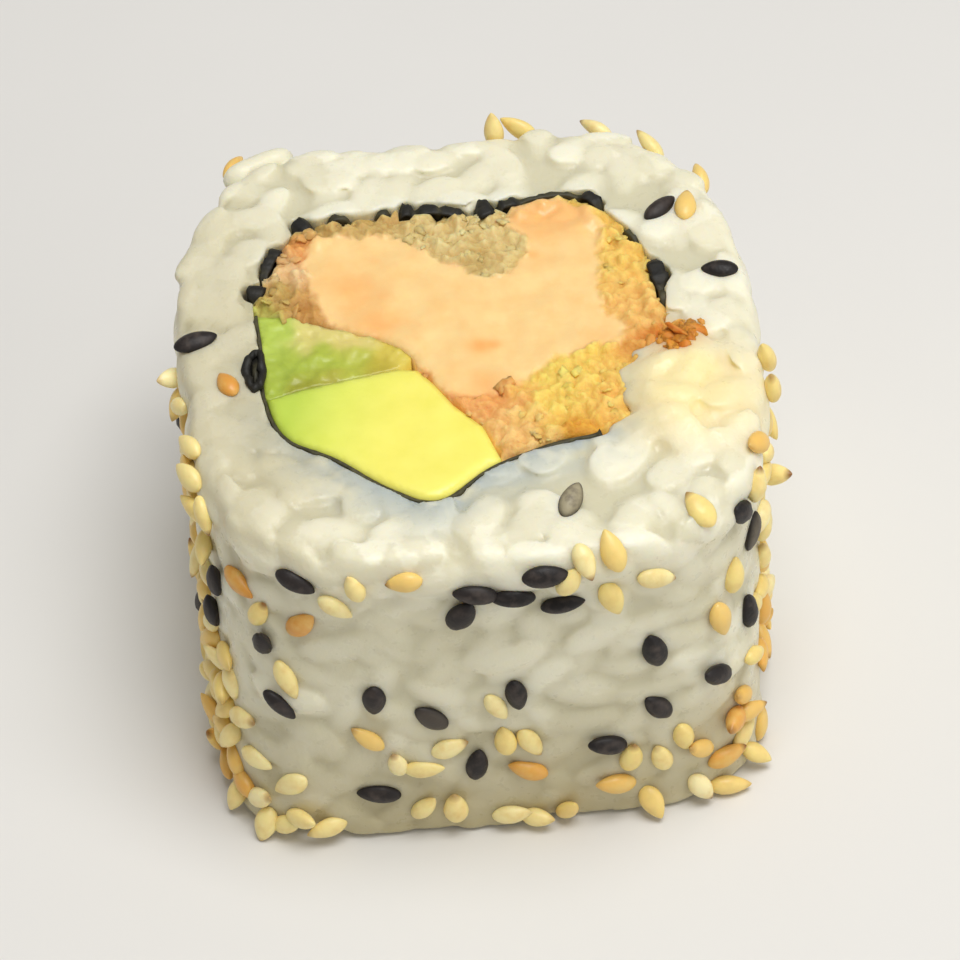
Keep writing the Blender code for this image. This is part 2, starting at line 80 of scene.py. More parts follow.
# The roll's form, as in its solids: a rounded square in plan, squarer at its foot, and with two
# corners of the upper cut (degrees round, millimetres out, degrees wide) that stand out.
HEIGHT = 29.0 * MM
HALF_WIDTH = 20.3 * MM
HALF_DEPTH = 21.1 * MM
TOP_SQUARENESS = 3.1
FOOT_SQUARENESS = 5.2
TOP_PULL = 0.4 * MM
TOP_PULL_AT = math.radians(135)
TOP_CORNERS = ((60, 0.5, 14), (122, 1.6, 9))
FOOT_LEAN = -1.1 * MM
LEAN = 1.05 * MM
LEAN_TO = math.radians(34)
TOP_RIM = 1.8 * MM
FOOT_RIM = 0.9 * MM
# The middle of the base, where the part's origin is, from the roll's axis.
BASE_MIDDLE = Vector((0.3, 0.8, 0)) * MM
FOOT_CLEARANCE = 0.3 * MM
NORI_GAP = (318, 356)
GAP_FADE = 8

# The fillings' upper cuts, as in their solids.
COAT_DEPTH = 3.2 * MM
CRAG_LENGTH = 1.1 * MM
CRAG_RISE = 0.9 * MM
CRAG_BITE = 0.7 * MM
COAT_DROP = 0.2 * MM
FLAKE_LENGTH = 2.6 * MM
FLAKE_RISE = 0.25 * MM
WEDGE_SLOPE = 0.03
WEDGE_DROP = 0.25 * MM
SLICE_DROP = 0.38 * MM
SLICE_WAVE = 0.2 * MM
SLICE_WAVE_LENGTH = 3 * MM

# Grains and seeds, as in the solids.
GRAIN_SIZE = (5.8 * MM, 2.9 * MM, 2.4 * MM)
WHITE_SEED_SIZE = (3.3 * MM, 1.8 * MM, 1.15 * MM)
BLACK_SEED_SIZE = (3.5 * MM, 1.95 * MM, 1.15 * MM)
SEED_SPACING = 2.2 * MM
SEED_SUNK = 0.36
SEED_TILT = math.radians(25)
PLACING_TRIES = 200
GRAIN_SUNK = 0.72
RIM_GRAINS = 22
RIM_GRAIN_DEPTH = (1.7 * MM, 2.4 * MM)
SIDE_GRAINS = 14
SIDE_GRAIN_BAND = (0.16, 0.76)
GOLDEN_SHARE = 0.618
CORNER_GRAIN_AT = math.radians(122)
CORNER_GRAIN_DEPTH = 1.9 * MM
CORNER_GRAIN_SUNK = 0.25
RANDOM_SEED = 5

# The pressed grains that cover the rice: rows up the side, and rings on each cut, the rings'
# radius and width in millimetres. Then the skin round them, and its relief and shades.
SIDE_GRAIN_ROWS = 12
SIDE_GRAIN_COLUMNS = 45
CUT_GRAIN_RINGS = (0.1, 0.38, 0.66, 0.93)
CUT_RING_RADIUS = 14
CUT_RING_WIDTH = 7
CUT_GRAIN_SPACING = 3.5 * MM
GRAIN_SPAN = (0.86, 1.1)
CUT_GRAIN_PITCH = math.radians(50)
SIDE_GRAIN_TILT = math.radians(12)
GRAIN_SCATTER = 0.16 * MM
GRAIN_PRESSED = 0.3
CORE_INSET = 0.75 * MM
CORE_DROP = 0.65 * MM
RICE_VOXEL = 0.27 * MM
RICE_SMOOTHING = 2
RICE_FACES_KEPT = 0.56
RELIEF_KEPT = 0.34
STANDING_RELIEF = 1.5 * MM
LUMP_RISE = 0.9 * MM
LUMP_MIDDLE = (15.8 * MM, -7.0 * MM)
LUMP_REACH = (5.4 * MM, 5.8 * MM)
RELIEF_REACH = 1.2 * MM
WARM_REACH = 5.0 * MM
WET_REACH = 3.8 * MM
STAIN_REACH = 2.4 * MM
# The middle and reach of the painted shade on the left of the upper cut.
PAINTED_SHADE_MIDDLE = (-18 * MM, -3 * MM)
PAINTED_SHADE_REACH = (8 * MM, 15 * MM)
CORE_RINGS = 30
SURFACE_STEP = 0.01
CURVE_STEPS = 12
LOOP_STEPS = 344

# The grains that stand up off the upper cut at the front right: place in millimetres, heading.
RAISED_SUNK = 0.5 * MM
RAISED_PITCH = math.radians(-8)
RAISED_GRAINS = (
    (13.4, -4.6, 10), (15.6, -5.6, 60), (16.4, -3.4, 100), (13.6, -7.4, -20), (12.7, -9.8, 5),
    (14.9, -2.2, 20),
)

# The nori's upper edge where it shows thick: degrees round the roll, the degrees it reaches each
# way, and its thickness in millimetres. Within NORI_LINE it shows as a thin line, and elsewhere it
# lies hidden under the coat's lap between these bits.
NORI_BITS = (
    (152, 3.2, 1.3), (141, 6.5, 0.9), (127.5, 2.6, 1.4), (119, 3.2, 0.5),
    (108, 2.6, 0.55), (101.5, 2.2, 1.5), (92, 9.5, 0.95), (77.5, 3.8, 1.5), (71, 3.0, 0.9),
    (62, 9.0, 0.45), (52, 4.0, 0.9), (36, 3.5, 0.5), (21, 6.0, 1.2), (12, 3.5, 0.5), (315, 2.2, 0.8),
)
NORI_LINE = (160, 320)
NORI_THIN = 0.25 * MM
NORI_FOLD = 1.6 * NORI_THIN
NORI_ROOM = 0.04 * MM
NORI_SPACING = 0.22 * MM
# How far under the upper cut its hidden edge and its thin line lie, and the share of a fold's
# thickness that leans in over the filling.
NORI_HIDDEN = 1.3 * MM
NORI_SUNK = 0.2 * MM
FOLDED_IN = 0.45
# Depths under its edge at which its sides bend.
NORI_DROPS = (0.0, 0.3 * MM, 1.0 * MM, 2.4 * MM, 6 * MM, 14 * MM)
# The curl that the sheet's edge makes on the rice at the left: its middle, its half width and
# depth, and the thickness of its rim.
CURL_MIDDLE = (-14.25 * MM, -1.2 * MM)
CURL_REACH = (0.6 * MM, 1.45 * MM)
CURL_RIM = 0.34 * MM
CURL_STEPS = 36
CURL_SIDES = 12

# Plan outlines in millimetres, seen from above, anticlockwise.
FILLING_OUTLINE = (
    (14.6, 3.0), (13.9, 7.6), (11.8, 11.4), (9.8, 14.0), (6.2, 14.1), (2.4, 13.1),
    (-1.6, 13.8), (-6.5, 14.0), (-10.4, 13.2), (-12.8, 9.8), (-13.9, 6.0), (-13.7, 1.5),
    (-13.6, -3.5), (-12.3, -7.4), (-9.0, -9.8), (-5.4, -13.1), (-2.2, -14.6),
    (1.5, -12.0), (5.8, -10.3), (10.5, -9.2), (12.6, -5.8), (14.1, -2.0),
)
WEDGE_CUT = (
    (-13.6, -3.5), (-11.0, -2.7), (-7.5, -2.1), (-4.3, -1.6), (-2.9, -1.9), (-1.9, -3.4),
    (-0.6, -5.8), (1.3, -8.2), (2.2, -11.6),
)
SLICE_CUT = ((-4.4, -1.6), (-3.2, -0.7), (-4.8, 0.9), (-6.8, 2.0), (-9.4, 3.2), (-11.4, 4.3), (-13.9, 4.8))
FLESH_OUTLINE = (
    (-9.0, 11.9), (-10.4, 9.9), (-9.9, 6.7), (-8.6, 3.2), (-5.2, 0.9), (-2.6, -1.6), (-0.4, -5.2),
    (3.5, -4.7), (6.9, -2.3), (12.0, -0.8), (10.5, 2.3), (10.6, 7.0), (11.0, 11.4), (7.4, 14.3),
    (4.3, 12.8), (5.7, 9.6), (3.5, 6.2), (-0.2, 8.1), (-3.6, 11.2),
)

# The seeds that show from the front: degrees round the roll, height in millimetres, the degrees by
# which the pointed end turns up from level, the degrees by which it stands out, and for the white
# ones how far they are toasted.
BLACK_SEEDS = (
    (236, 26.1, 340, 0), (229, 19.3, 80, 20), (232, 14.0, 315, 0), (248, 14.9, 265, 0),
    (258, 12.6, 135, 0), (247, 4.9, 175, 0), (266, 7.4, 80, 0), (266, 23.5, 60, 5),
    (269, 25.5, 170, 0), (276, 25.0, 180, 0), (282, 27.3, 0, 0), (285, 23.8, 10, 0),
    (275, 14.6, 275, 0), (291, 8.5, 160, 10), (300, 17.5, 100, 0), (300, 11.4, 125, 0),
    (310, 13.0, 140, 15), (319, 26.0, 130, 0), (324, 21.7, 250, 0), (320, 15.4, 95, 0),
    (215, 20.7, 85, 10), (213, 17.0, 95, 10),
)
WHITE_SEEDS = (
    (223, 23.1, 350, 0, 0.9), (228, 21.7, 65, 0, 0.3), (236, 21.8, 50, 0, 0.9), (243, 24.3, 325, 0, 0.1),
    (247, 26.6, 105, 0, 0.2), (256, 27.1, 190, 0, 0.5), (220, 12.5, 295, 0, 0.1), (233, 16.2, 295, 0, 0.2),
    (223, 10.0, 20, 0, 0.1), (226, 6.8, 355, 0, 0.1), (227, 3.3, 35, 10, 0.0), (238, 1.7, 195, 20, 0.2),
    (246, 10.8, 135, 0, 0.5), (251, 8.3, 100, 5, 0.0), (256, 7.7, 10, 0, 0.2), (255, 3.4, 55, 10, 0.2),
    (261, 9.4, 15, 0, 0.1), (261, 3.0, 90, 5, 0.2), (271, 13.5, 295, 0, 0.1), (272, 9.7, 95, 0, 0.3),
    (277, 9.1, 295, 0, 0.2), (276, 6.2, 155, 0, 0.8), (272, 1.7, 10, 10, 0.1), (277, 1.3, 15, 25, 0.2),
    (283, 1.4, 70, 20, 0.4), (294, 28.4, 100, 0, 0.4), (289, 28.0, 285, 10, 0.1), (286, 26.6, 60, 0, 0.2),
    (293, 24.1, 285, 5, 0.3), (301, 24.8, 335, 0, 0.1), (311, 28.4, 90, 0, 0.3), (295, 6.6, 80, 5, 0.3),
    (292, 4.0, 160, 10, 0.6), (298, 1.3, 295, 35, 0.4), (300, 5.9, 105, 0, 0.2), (304, 7.4, 280, 0, 0.3),
    (306, 1.6, 300, 20, 0.0), (317, 1.6, 300, 45, 0.3), (316, 8.2, 135, 10, 0.6), (319, 11.5, 335, 10, 0.3),
    (312, 17.8, 275, 5, 0.5), (316, 20.8, 75, 0, 0.3), (324, 26.8, 70, 0, 0.2), (329, 28.3, 140, 10, 0.6),
    (337, 21.8, 130, 50, 0.2), (343, 28.0, 100, 20, 0.3), (350, 28.2, 100, 20, 0.3), (51, 28.2, 10, 25, 0.2),
    (61, 28.2, 355, 30, 0.1), (74, 28.2, 20, 40, 0.3), (79, 28.2, 85, 50, 0.2), (174, 26.2, 45, 45, 0.0),
    (181, 25.8, 220, 20, 0.1), (200, 28.2, 200, 10, 0.2),
)

# The seeds on the upper cut: degrees round the roll, millimetres from its axis, the degrees by
# which the pointed end turns from +X and stands out, whether it is black, and how far it is
# toasted or scuffed.
CUT_SEEDS = (
    (292, 17.6, 65, 20, True, 1.0), (37, 19.5, 40, 0, True, 0.6), (14, 19.7, 170, 0, True, 0.1),
    (172, 18.6, 10, 0, True, 0.3), (187, 16.4, 115, 0, False, 0.9), (34, 21.0, 80, 0, False, 0.5),
)

# Where the roll picked up more seeds: degrees round it from and to, share of the height from and
# to, and how many white and black seeds lie there.
SEED_PATCHES = (
    (193, 201, 0.14, 0.70, 5, 0),
    (203, 222, 0.05, 0.42, 11, 0),
    (205, 217, 0.42, 0.66, 2, 0),
    (222, 233, 0.05, 0.20, 2, 0),
    (327, 338, 0.10, 0.70, 6, 0),
    (342, 380, 0.08, 0.90, 2, 3),
    (20, 65, 0.08, 0.90, 5, 3),
    (65, 115, 0.08, 0.90, 5, 3),
    (115, 160, 0.08, 0.92, 3, 3),
    (160, 193, 0.08, 0.85, 3, 2),
)

# Seeds that the solids leave out, in the same terms but white alone, and how far they stand out.
EXTRA_PATCHES = (
    (201, 222, 0.03, 0.50, 14),
    (197, 214, 0.50, 0.97, 8),
    (222, 240, 0.03, 0.12, 3),
    (300, 324, 0.03, 0.26, 6),
    (322, 345, 0.05, 0.55, 9),
    (326, 345, 0.55, 0.97, 5),
    (345, 380, 0.05, 0.95, 8),
    (20, 65, 0.05, 0.95, 8),
    (65, 115, 0.05, 0.95, 9),
    (115, 160, 0.05, 0.95, 8),
    (160, 196, 0.05, 0.95, 9),
)
EXTRA_SPACING = 1.5 * MM
EXTRA_TILT = math.radians(32)
# How much smaller a seed may be, and its length, width and thickness as shares of the solid's.
SEED_SIZE_SPREAD = 0.14
SEED_SPANS = ((0.86, 1.04), (0.86, 1.04), (1.0, 1.25))
# The depth of a seed's rim and how pointed it is.
WHITE_SEED_FORM = (0.0, 1.28)
BLACK_SEED_FORM = (0.12, 1.16)
SEED_LEVELLING = 0.6
ROAST_SPREAD = (1.3, 2.6)

# The crumb coat's colours: plan place and reach in millimetres, and the colour there.
COAT_TONES = (
    (12.6, 7.0, 3.2, (246, 208, 108)),
    (12.6, 1.8, 2.6, (246, 202, 118)),
    (14.7, -1.7, 1.8, (218, 134, 34)),
    (5.8, -7.4, 1.3, (246, 218, 106)),
    (7.6, -4.8, 2.6, (248, 222, 110)),
    (10.4, -5.9, 2.4, (246, 200, 104)),
    (8.0, -9.2, 1.2, (226, 164, 44)),
    (3.4, -8.0, 2.0, (244, 200, 124)),
    (2.2, -5.6, 1.8, (240, 170, 96)),
    (-1.4, -2.4, 1.4, (236, 172, 100)),
    (-4.6, 0.6, 1.6, (248, 190, 112)),
    (0.3, 10.9, 2.8, (226, 206, 144)),
    (1.6, 8.6, 1.2, (202, 176, 108)),
    (-6.5, 13.4, 2.6, (208, 180, 112)),
    (-11.0, 8.8, 1.6, (240, 208, 156)),
    (-11.0, 11.0, 1.1, (228, 160, 84)),
    (-10.2, 5.4, 1.4, (206, 156, 84)),
    (-12.4, 6.4, 1.2, (196, 166, 92)),
    (-13.4, 4.8, 0.9, (192, 198, 96)),
)

# Warmer spots in the flesh: plan place, reach and strength.
FLESH_SPOTS = (
    (-7.2, 6.4, 2.2, 0.6), (-5.4, 2.8, 1.8, 0.6), (1.6, -0.6, 0.7, 0.9), (2.6, -0.5, 0.5, 0.7),
    (6.6, 12.4, 3.0, 0.6), (9.4, 12.6, 1.8, 0.4), (1.6, -4.6, 1.8, 0.5), (6.0, 8.2, 0.5, 0.6),
)

# The slice's colours, in the coat tones' terms.
SLICE_TONES = (
    (-13.2, 2.6, 1.6, (188, 208, 92)),
    (-10.4, 2.6, 1.1, (226, 212, 134)),
    (-7.6, 1.9, 1.2, (228, 210, 130)),
    (-12.4, -0.8, 1.5, (176, 194, 76)),
    (-11.0, -2.2, 0.9, (160, 158, 52)),
    (-9.6, 0.0, 1.4, (178, 192, 74)),
    (-7.4, -1.0, 1.3, (190, 196, 78)),
    (-5.4, -1.2, 0.9, (196, 176, 62)),
    (-4.2, 0.0, 1.3, (222, 202, 92)),
    # Painted shade: these two darker olive tones lie along the slice's edge with the wedge.
    (-8.8, -1.9, 0.7, (176, 166, 62)),
    (-6.2, -1.6, 0.7, (184, 170, 62)),
)

# How far apart the points on the fillings' cuts lie.
STRIP_SPACING = 0.2 * MM
WEDGE_SPACING = 0.35 * MM
SLICE_SPACING = 0.24 * MM
FOOT_SPACING = 0.9 * MM
COAT_BORDER_SPACING = 0.4 * MM
BORDER_SPACING = 0.5 * MM

# How far the coat laps over the hidden nori, how far the slice reaches into its neighbours, and
# the crumbs: on the coat, and browned ones spilled on the rice in front of it.
COAT_LAP = 0.5 * MM
SLICE_LAP = 0.06 * MM
CRUMBS = 80
CRUMB_ACROSS = 0.55 * MM
SPILL_CRUMBS = 80
SPILL_ACROSS = 0.75 * MM
SPILL_MIDDLE = (15.3 * MM, -1.8 * MM)
SPILL_SPREAD = (0.8 * MM, 0.75 * MM)
CRUMB_SPREAD = 0.35
CRUMB_FORMS = 8
CRUMB_TRIES = 400

# Display colours of the rice: the wet film by the nori, then tints by their layers' names. The darker tint,
# (184, 172, 132), is painted shade.
RICE_WET = (180, 187, 182)
RICE_TINTS = (
    ("warm", (249, 230, 174)), ("painted_shade", (184, 172, 132)), ("stain", (238, 178, 104)),
)
WEDGE_TONES = ((198, 220, 88), (236, 240, 112), (255, 243, 120))
WEDGE_LIME_AT = 0.45
WHITE = (255, 255, 255)


def srgb(red, green, blue):
    """A display colour of 0 to 255 as a linear colour with alpha."""
    shares = [value / 255 for value in (red, green, blue)]
    return (*(s / 12.92 if s <= 0.04045 else ((s + 0.055) / 1.055) ** 2.4 for s in shares), 1.0)


def held(value):
    """The value, held between 0 and 1."""
    return np.clip(value, 0.0, 1.0)


# Forms that repeat the solids'.


def rounded_square(angle, squareness):
    """Distance from the middle of a rounded square of the roll's width and depth to its edge."""
    across = np.abs(np.cos(angle) / HALF_WIDTH) ** squareness
    along = np.abs(np.sin(angle) / HALF_DEPTH) ** squareness
    return (across + along) ** (-1 / squareness)


def rim_inset(depth, rim):
    """How far a rounded edge stands back, at a depth below the cut."""
    left = 1 - held(depth / rim)
    return rim * (1 - np.sqrt(1 - left ** 2))


def side_radius(angle, height):
    """Distance from the roll's axis to the rice's smooth outside at a height."""
    top = rounded_square(angle, TOP_SQUARENESS) + TOP_PULL * np.cos(2 * (angle - TOP_PULL_AT))
    for middle, out, width in TOP_CORNERS:
        top = top + out * MM * np.exp(-((np.degrees(angle) % 360 - middle) / width) ** 2)
    foot = rounded_square(angle, FOOT_SQUARENESS) + FOOT_LEAN * np.cos(angle)
    radius = foot + (top - foot) * height / HEIGHT + LEAN * np.cos(angle - LEAN_TO)
    return radius - rim_inset(HEIGHT - height, TOP_RIM) - rim_inset(height, FOOT_RIM)


def round_point(radius, angle, height):
    return Vector((radius * math.cos(angle), radius * math.sin(angle), height))


def side_point(angle, height):
    return round_point(side_radius(angle, height), angle, height)


def side_normal(angle, height):
    """The outward direction of the rice's smooth outside."""
    tangent = side_point(angle + SURFACE_STEP, height) - side_point(angle - SURFACE_STEP, height)
    above = side_point(angle, min(height + MM, HEIGHT))
    rise = above - side_point(angle, max(height - MM, 0.0))
    return tangent.cross(rise).normalized()


def evenly(line, count):
    """count points at equal distances along an open line."""
    reach = np.concatenate([[0], np.cumsum(np.linalg.norm(np.diff(line, axis=0), axis=1))])
    want = np.linspace(0, reach[-1], count)
    return np.stack([np.interp(want, reach, line[:, k]) for k in range(2)], axis=1)


def loop_evenly(loop, count):
    return evenly(np.vstack([loop, loop[:1]]), count + 1)[:-1]


def respaced(loop, spacing):
    """The closed loop with its points about spacing apart."""
    length = np.linalg.norm(np.roll(loop, -1, axis=0) - loop, axis=1).sum()
    return loop_evenly(loop, round(length / spacing))


def smooth_loop(corners, count):
    """count evenly spaced points along the closed Catmull-Rom curve through the corners."""
    corners = np.array(corners) * MM
    before, start, end, after = (np.roll(corners, -k, axis=0)[:, None] for k in (-1, 0, 1, 2))
    t = np.linspace(0, 1, CURVE_STEPS, endpoint=False)[None, :, None]
    fine = 0.5 * (
        2 * start
        + (end - before) * t
        + (2 * before - 5 * start + 4 * end - after) * t ** 2
        + (3 * start - before - 3 * end + after) * t ** 3
    )
    return loop_evenly(fine.reshape(-1, 2), count)


def offset_loop(loop, distance):
    """The closed loop moved outwards by one distance, or by a distance for each point."""
    along = np.roll(loop, -1, axis=0) - np.roll(loop, 1, axis=0)
    along /= np.linalg.norm(along, axis=1, keepdims=True)
    out = np.stack([along[:, 1], -along[:, 0]], axis=1)
    return loop + out * np.reshape(distance, (-1, 1))


def between(loop, start, end):
    """The loop's points from the one nearest start round to the one nearest end."""
    first = int(np.linalg.norm(loop - start, axis=1).argmin())
    last = int(np.linalg.norm(loop - end, axis=1).argmin())
    return np.roll(loop, -first, axis=0)[:(last - first) % len(loop) + 1]


def filling_pieces(filling):
    """The plan outlines of the breaded salmon, the avocado wedge and the avocado slice."""
    wedge_cut = np.array(WEDGE_CUT) * MM
    slice_cut = np.array(SLICE_CUT) * MM
    rind = between(filling, wedge_cut[0], wedge_cut[-1])
    wedge = np.vstack([rind, wedge_cut[-2:0:-1]])
    skin = between(filling, slice_cut[-1], wedge_cut[0])
    flat_slice = np.vstack([skin, wedge_cut[1:4], slice_cut[:-1]])
    coat = between(filling, wedge_cut[-1], slice_cut[-1])
    salmon = np.vstack([coat, slice_cut[-2:0:-1], wedge_cut[4:-1]])
    return salmon, wedge, flat_slice


def around(points):
    """Each point's distance from the roll's axis, and its angle round it."""
    return np.hypot(points[..., 0], points[..., 1]), np.arctan2(points[..., 1], points[..., 0])


def degrees_round(points):
    return np.degrees(around(points)[1]) % 360


def plan_distance(points, middle, reach=(1.0, 1.0)):
    """Distance over the plan from a middle, in shares of a reach each way."""
    return np.hypot((points[:, 0] - middle[0]) / reach[0], (points[:, 1] - middle[1]) / reach[1])


def in_gap(points):
    """1 inside the nori's gap and 0 outside, fading over a few degrees at each end."""
    angle = degrees_round(points)
    inside = np.minimum(angle - NORI_GAP[0], NORI_GAP[1] - angle)
    return held(0.5 + inside / GAP_FADE)


def nori_edge(points):
    """The nori's thickness at the upper cut, and how much of it shows there, from 0 to 1."""
    angle = degrees_round(points)
    shown = ((angle > NORI_LINE[0]) & (angle < NORI_LINE[1])).astype(float)
    thickness = np.full(len(points), NORI_THIN)
    for middle, reach, thick in NORI_BITS:
        near = np.exp(-(np.abs((angle - middle + 180) % 360 - 180) / reach) ** 4)
        shown = np.maximum(shown, near)
        thickness = np.maximum(thickness, near * thick * MM)
    return thickness * (1 + 0.45 * waves(points, 0.9 * MM) + 0.3 * waves(points, 0.45 * MM)), shown


def plan_noise(point, length):
    """Smooth noise over the plan, from -1 to 1, with waves of about this length."""
    return noise.noise(Vector((point[0], point[1], 0)) / length)


def waves(points, length):
    return np.array([plan_noise(p, length) for p in points])


def inside_loop(points, loop):
    """Whether each plan point lies in the loop, by counting crossings to its right."""
    ends = np.roll(loop, -1, axis=0)
    x, y = points[:, 0][:, None], points[:, 1][:, None]
    spans = (loop[:, 1] > y) != (ends[:, 1] > y)
    rise = np.where(ends[:, 1] == loop[:, 1], 1.0, ends[:, 1] - loop[:, 1])
    crossing = loop[:, 0] + (y - loop[:, 1]) * (ends[:, 0] - loop[:, 0]) / rise
    return (spans & (x < crossing)).sum(axis=1) % 2 == 1


def loop_distance(points, loop):
    """Distance from each plan point to the closed loop."""
    step = np.roll(loop, -1, axis=0) - loop
    away = points[:, None] - loop
    share = held((away * step).sum(axis=2) / (step ** 2).sum(axis=1))
    return np.linalg.norm(away - share[..., None] * step, axis=2).min(axis=1)


# Meshes from arrays.


def new_piece(name, points, faces, finish, layers=None):
    """Links a smooth mesh object with a number or a colour for each point in each named layer."""
    mesh = bpy.data.meshes.new(name)
    mesh.from_pydata(points.tolist(), [], faces.tolist() if isinstance(faces, np.ndarray) else faces)
    mesh.validate()
    mesh.shade_smooth()
    if finish:
        mesh.materials.append(finish)
    add_layers(mesh, layers or {})
    return placed(name, mesh, -BASE_MIDDLE)


def add_layers(mesh, layers):
    for label, values in layers.items():
        values = np.asarray(values, np.float32)
        kind, place = ("FLOAT_COLOR", "color") if values.ndim == 2 else ("FLOAT", "value")
        layer = mesh.attributes.new(label, kind, "POINT")
        layer.data.foreach_set(place, values.ravel())


def placed(name, data, place):
    """A new object in the scene. Meshes measured from the roll's axis go to -BASE_MIDDLE."""
    made = bpy.data.objects.new(name, data)
    made.location = place
    bpy.context.scene.collection.objects.link(made)
    return made


def surface_of(piece):
    mesh = piece.data
    return BVHTree.FromPolygons([v.co for v in mesh.vertices], [p.vertices for p in mesh.polygons])


def below(surface, x, y):
    """The surface's highest point at a place in the plan, or None."""
    return surface.ray_cast(Vector((x, y, 2 * HEIGHT)), Vector((0, 0, -1)))[0]


def ring_faces(rings, size, closed):
    """Triangles between neighbouring rings of points, the last joined to the first if closed."""
    faces = []
    for ring in range(rings if closed else rings - 1):
        low = ring * size
        high = (ring + 1) % rings * size
        for i in range(size):
            k = (i + 1) % size
            faces.append((low + i, low + k, high + k))
            faces.append((low + i, high + k, high + i))
    return np.array(faces)


def lump_form(shares, girths, sides, section):
    """A closed form of unit size along X: a ring at each share from the tip, between two poles.

    section gives a ring's width and thickness at an angle."""
    rings = []
    for share, girth in zip(shares, girths):
        for k in range(sides):
            wide, thick = section(TURN * k / sides)
            rings.append((0.5 - share, 0.5 * girth * wide, 0.5 * girth * thick))
    faces = ring_faces(len(shares), sides, False)[:, ::-1].tolist()
    tip = len(rings)
    tail = tip + 1
    last = (len(shares) - 1) * sides
    for i in range(sides):
        k = (i + 1) % sides
        faces.append((tip, i, k))
        faces.append((tail, last + k, last + i))
    return np.array(rings + [(0.5, 0, 0), (-0.5, 0, 0)]), np.array(faces)


def grain_form():
    """A plump rice grain with blunt ends and a slight bend."""
    shares = 0.5 - 0.5 * np.cos(np.pi * np.linspace(0.08, 0.92, 9))
    girths = (1 - np.abs(2 * shares - 1) ** 2.6) ** (1 / 2.2)
    points, faces = lump_form(shares, girths, 10, lambda angle: (math.cos(angle), math.sin(angle)))
    points[:, 1] += 0.14 * (4 * points[:, 0] ** 2 - 0.4)
    return points, faces


def seed_form(rim, point):
    """A sesame seed: pointed at +X, the more so as point grows, and with a rim round its flat side."""

    def section(angle):
        groove = rim * math.exp(-((abs(math.sin(angle)) - 0.62) / 0.16) ** 2)
        return math.cos(angle) * (1 - groove), math.sin(angle) * (1 - groove)

    shares = 0.5 - 0.5 * np.cos(np.pi * np.linspace(0.07, 0.93, 13))
    girths = np.sin(np.pi * shares ** point) ** (0.42 * point)
    return lump_form(shares, girths, 16, section)


def stamp(form, places):
    """Copies of one form. Each place is its centre, its rotation and its size."""
    points, faces = form
    turns = np.array([np.array(turned) * np.array(size) for _, turned, size in places])
    centres = np.array([tuple(centre) for centre, _, _ in places])
    copies = np.einsum("nij,vj->nvi", turns, points) + centres[:, None]
    steps = len(points) * np.arange(len(places))
    return copies, (faces[None] + steps[:, None, None]).reshape(-1, 3)


def frame_on(normal, heading, tilt):
    """A rotation that lays X along the surface at a heading and Z along the normal."""
    level = Vector((-normal.y, normal.x, 0)).normalized()
    up = normal.cross(level)
    forward = (level * math.cos(heading) + up * math.sin(heading)) * math.cos(tilt)
    forward += normal * math.sin(tilt)
    side = normal.cross(forward).normalized()
    return Matrix((forward, side, forward.cross(side))).transposed()


# Node helpers.


def new_finish(name, roughness, specular=0.5):
    made = bpy.data.materials.new(name)
    made.use_nodes = True
    shader = made.node_tree.nodes["Principled BSDF"]
    shader.inputs["Roughness"].default_value = roughness
    shader.inputs["Specular IOR Level"].default_value = specular
    return made, made.node_tree, shader


def feed(tree, socket, value):
    """Fills a socket with another node's output, a display colour or a plain value."""
    if isinstance(value, bpy.types.NodeSocket):
        tree.links.new(value, socket)
    else:
        socket.default_value = srgb(*value) if socket.type == "RGBA" else value


def put(tree, kind, settings=None, **sockets):
    """Adds a node and fills its named sockets."""
    node = tree.nodes.new("ShaderNode" + kind)
    for name, value in (settings or {}).items():
        setattr(node, name, value)
    for name, value in sockets.items():
        feed(tree, node.inputs[name.replace("_", " ")], value)
    return node


def noise_of(tree, length, detail=2.0, rough=0.5, distortion=0.0):
    """Noise from 0 to 1 with features of about this length."""
    place = put(tree, "TexCoord").outputs["Object"]
    texture = put(tree, "TexNoise", None, Vector=place, Scale=1 / length, Detail=detail,
                  Roughness=rough, Distortion=distortion)
    return texture.outputs["Fac"]


def layer_of(tree, name, output="Fac"):
    return put(tree, "Attribute", {"attribute_name": name}).outputs[output]


def spread(tree, value, low, high):
    """The value's span from low to high, stretched to 0 to 1."""
    return put(tree, "MapRange", None, Value=value, From_Min=low, From_Max=high).outputs["Result"]


def product(tree, first, second):
    node = put(tree, "Math", {"operation": "MULTIPLY"})
    for socket, value in zip(node.inputs, (first, second)):
        feed(tree, socket, value)
    return node.outputs[0]


def mix(tree, factor, first, second, blend="MIX"):
    """One colour over another."""
    node = put(tree, "Mix", {"data_type": "RGBA", "blend_type": blend})
    for place, value in ((0, factor), (6, first), (7, second)):
        feed(tree, node.inputs[place], value)
    return node.outputs[2]


def spotted(tree, colour, spots, texture, low, high):
    """A colour with another over it, where a noise of (length, detail, rough) runs high."""
    return mix(tree, spread(tree, noise_of(tree, *texture), low, high), colour, spots)


def tinted(tree, share, paint, tint, texture, low, high):
    """The paint, multiplied by this share of a tint's spots."""
    return mix(tree, share, paint, spotted(tree, WHITE, tint, texture, low, high), "MULTIPLY")


def ramp(tree, value, stops):
    """A colour for each place along a value from 0 to 1."""
    node = put(tree, "ValToRGB", None, Fac=value)
    elements = node.color_ramp.elements
    for k, (place, colour) in enumerate(stops):
        element = elements[k] if k < 2 else elements.new(place)
        element.position = place
        element.color = srgb(*colour)
    return node.outputs["Color"]


def bumps(tree, shader, *heights):
    """Bump from several heights, each with its depth in metres."""
    normal = None
    for height, depth in heights:
        node = put(tree, "Bump", None, Height=height, Distance=depth, Strength=1.0)
        if normal:
            tree.links.new(normal, node.inputs["Normal"])
        normal = node.outputs["Normal"]
    tree.links.new(normal, shader.inputs["Normal"])


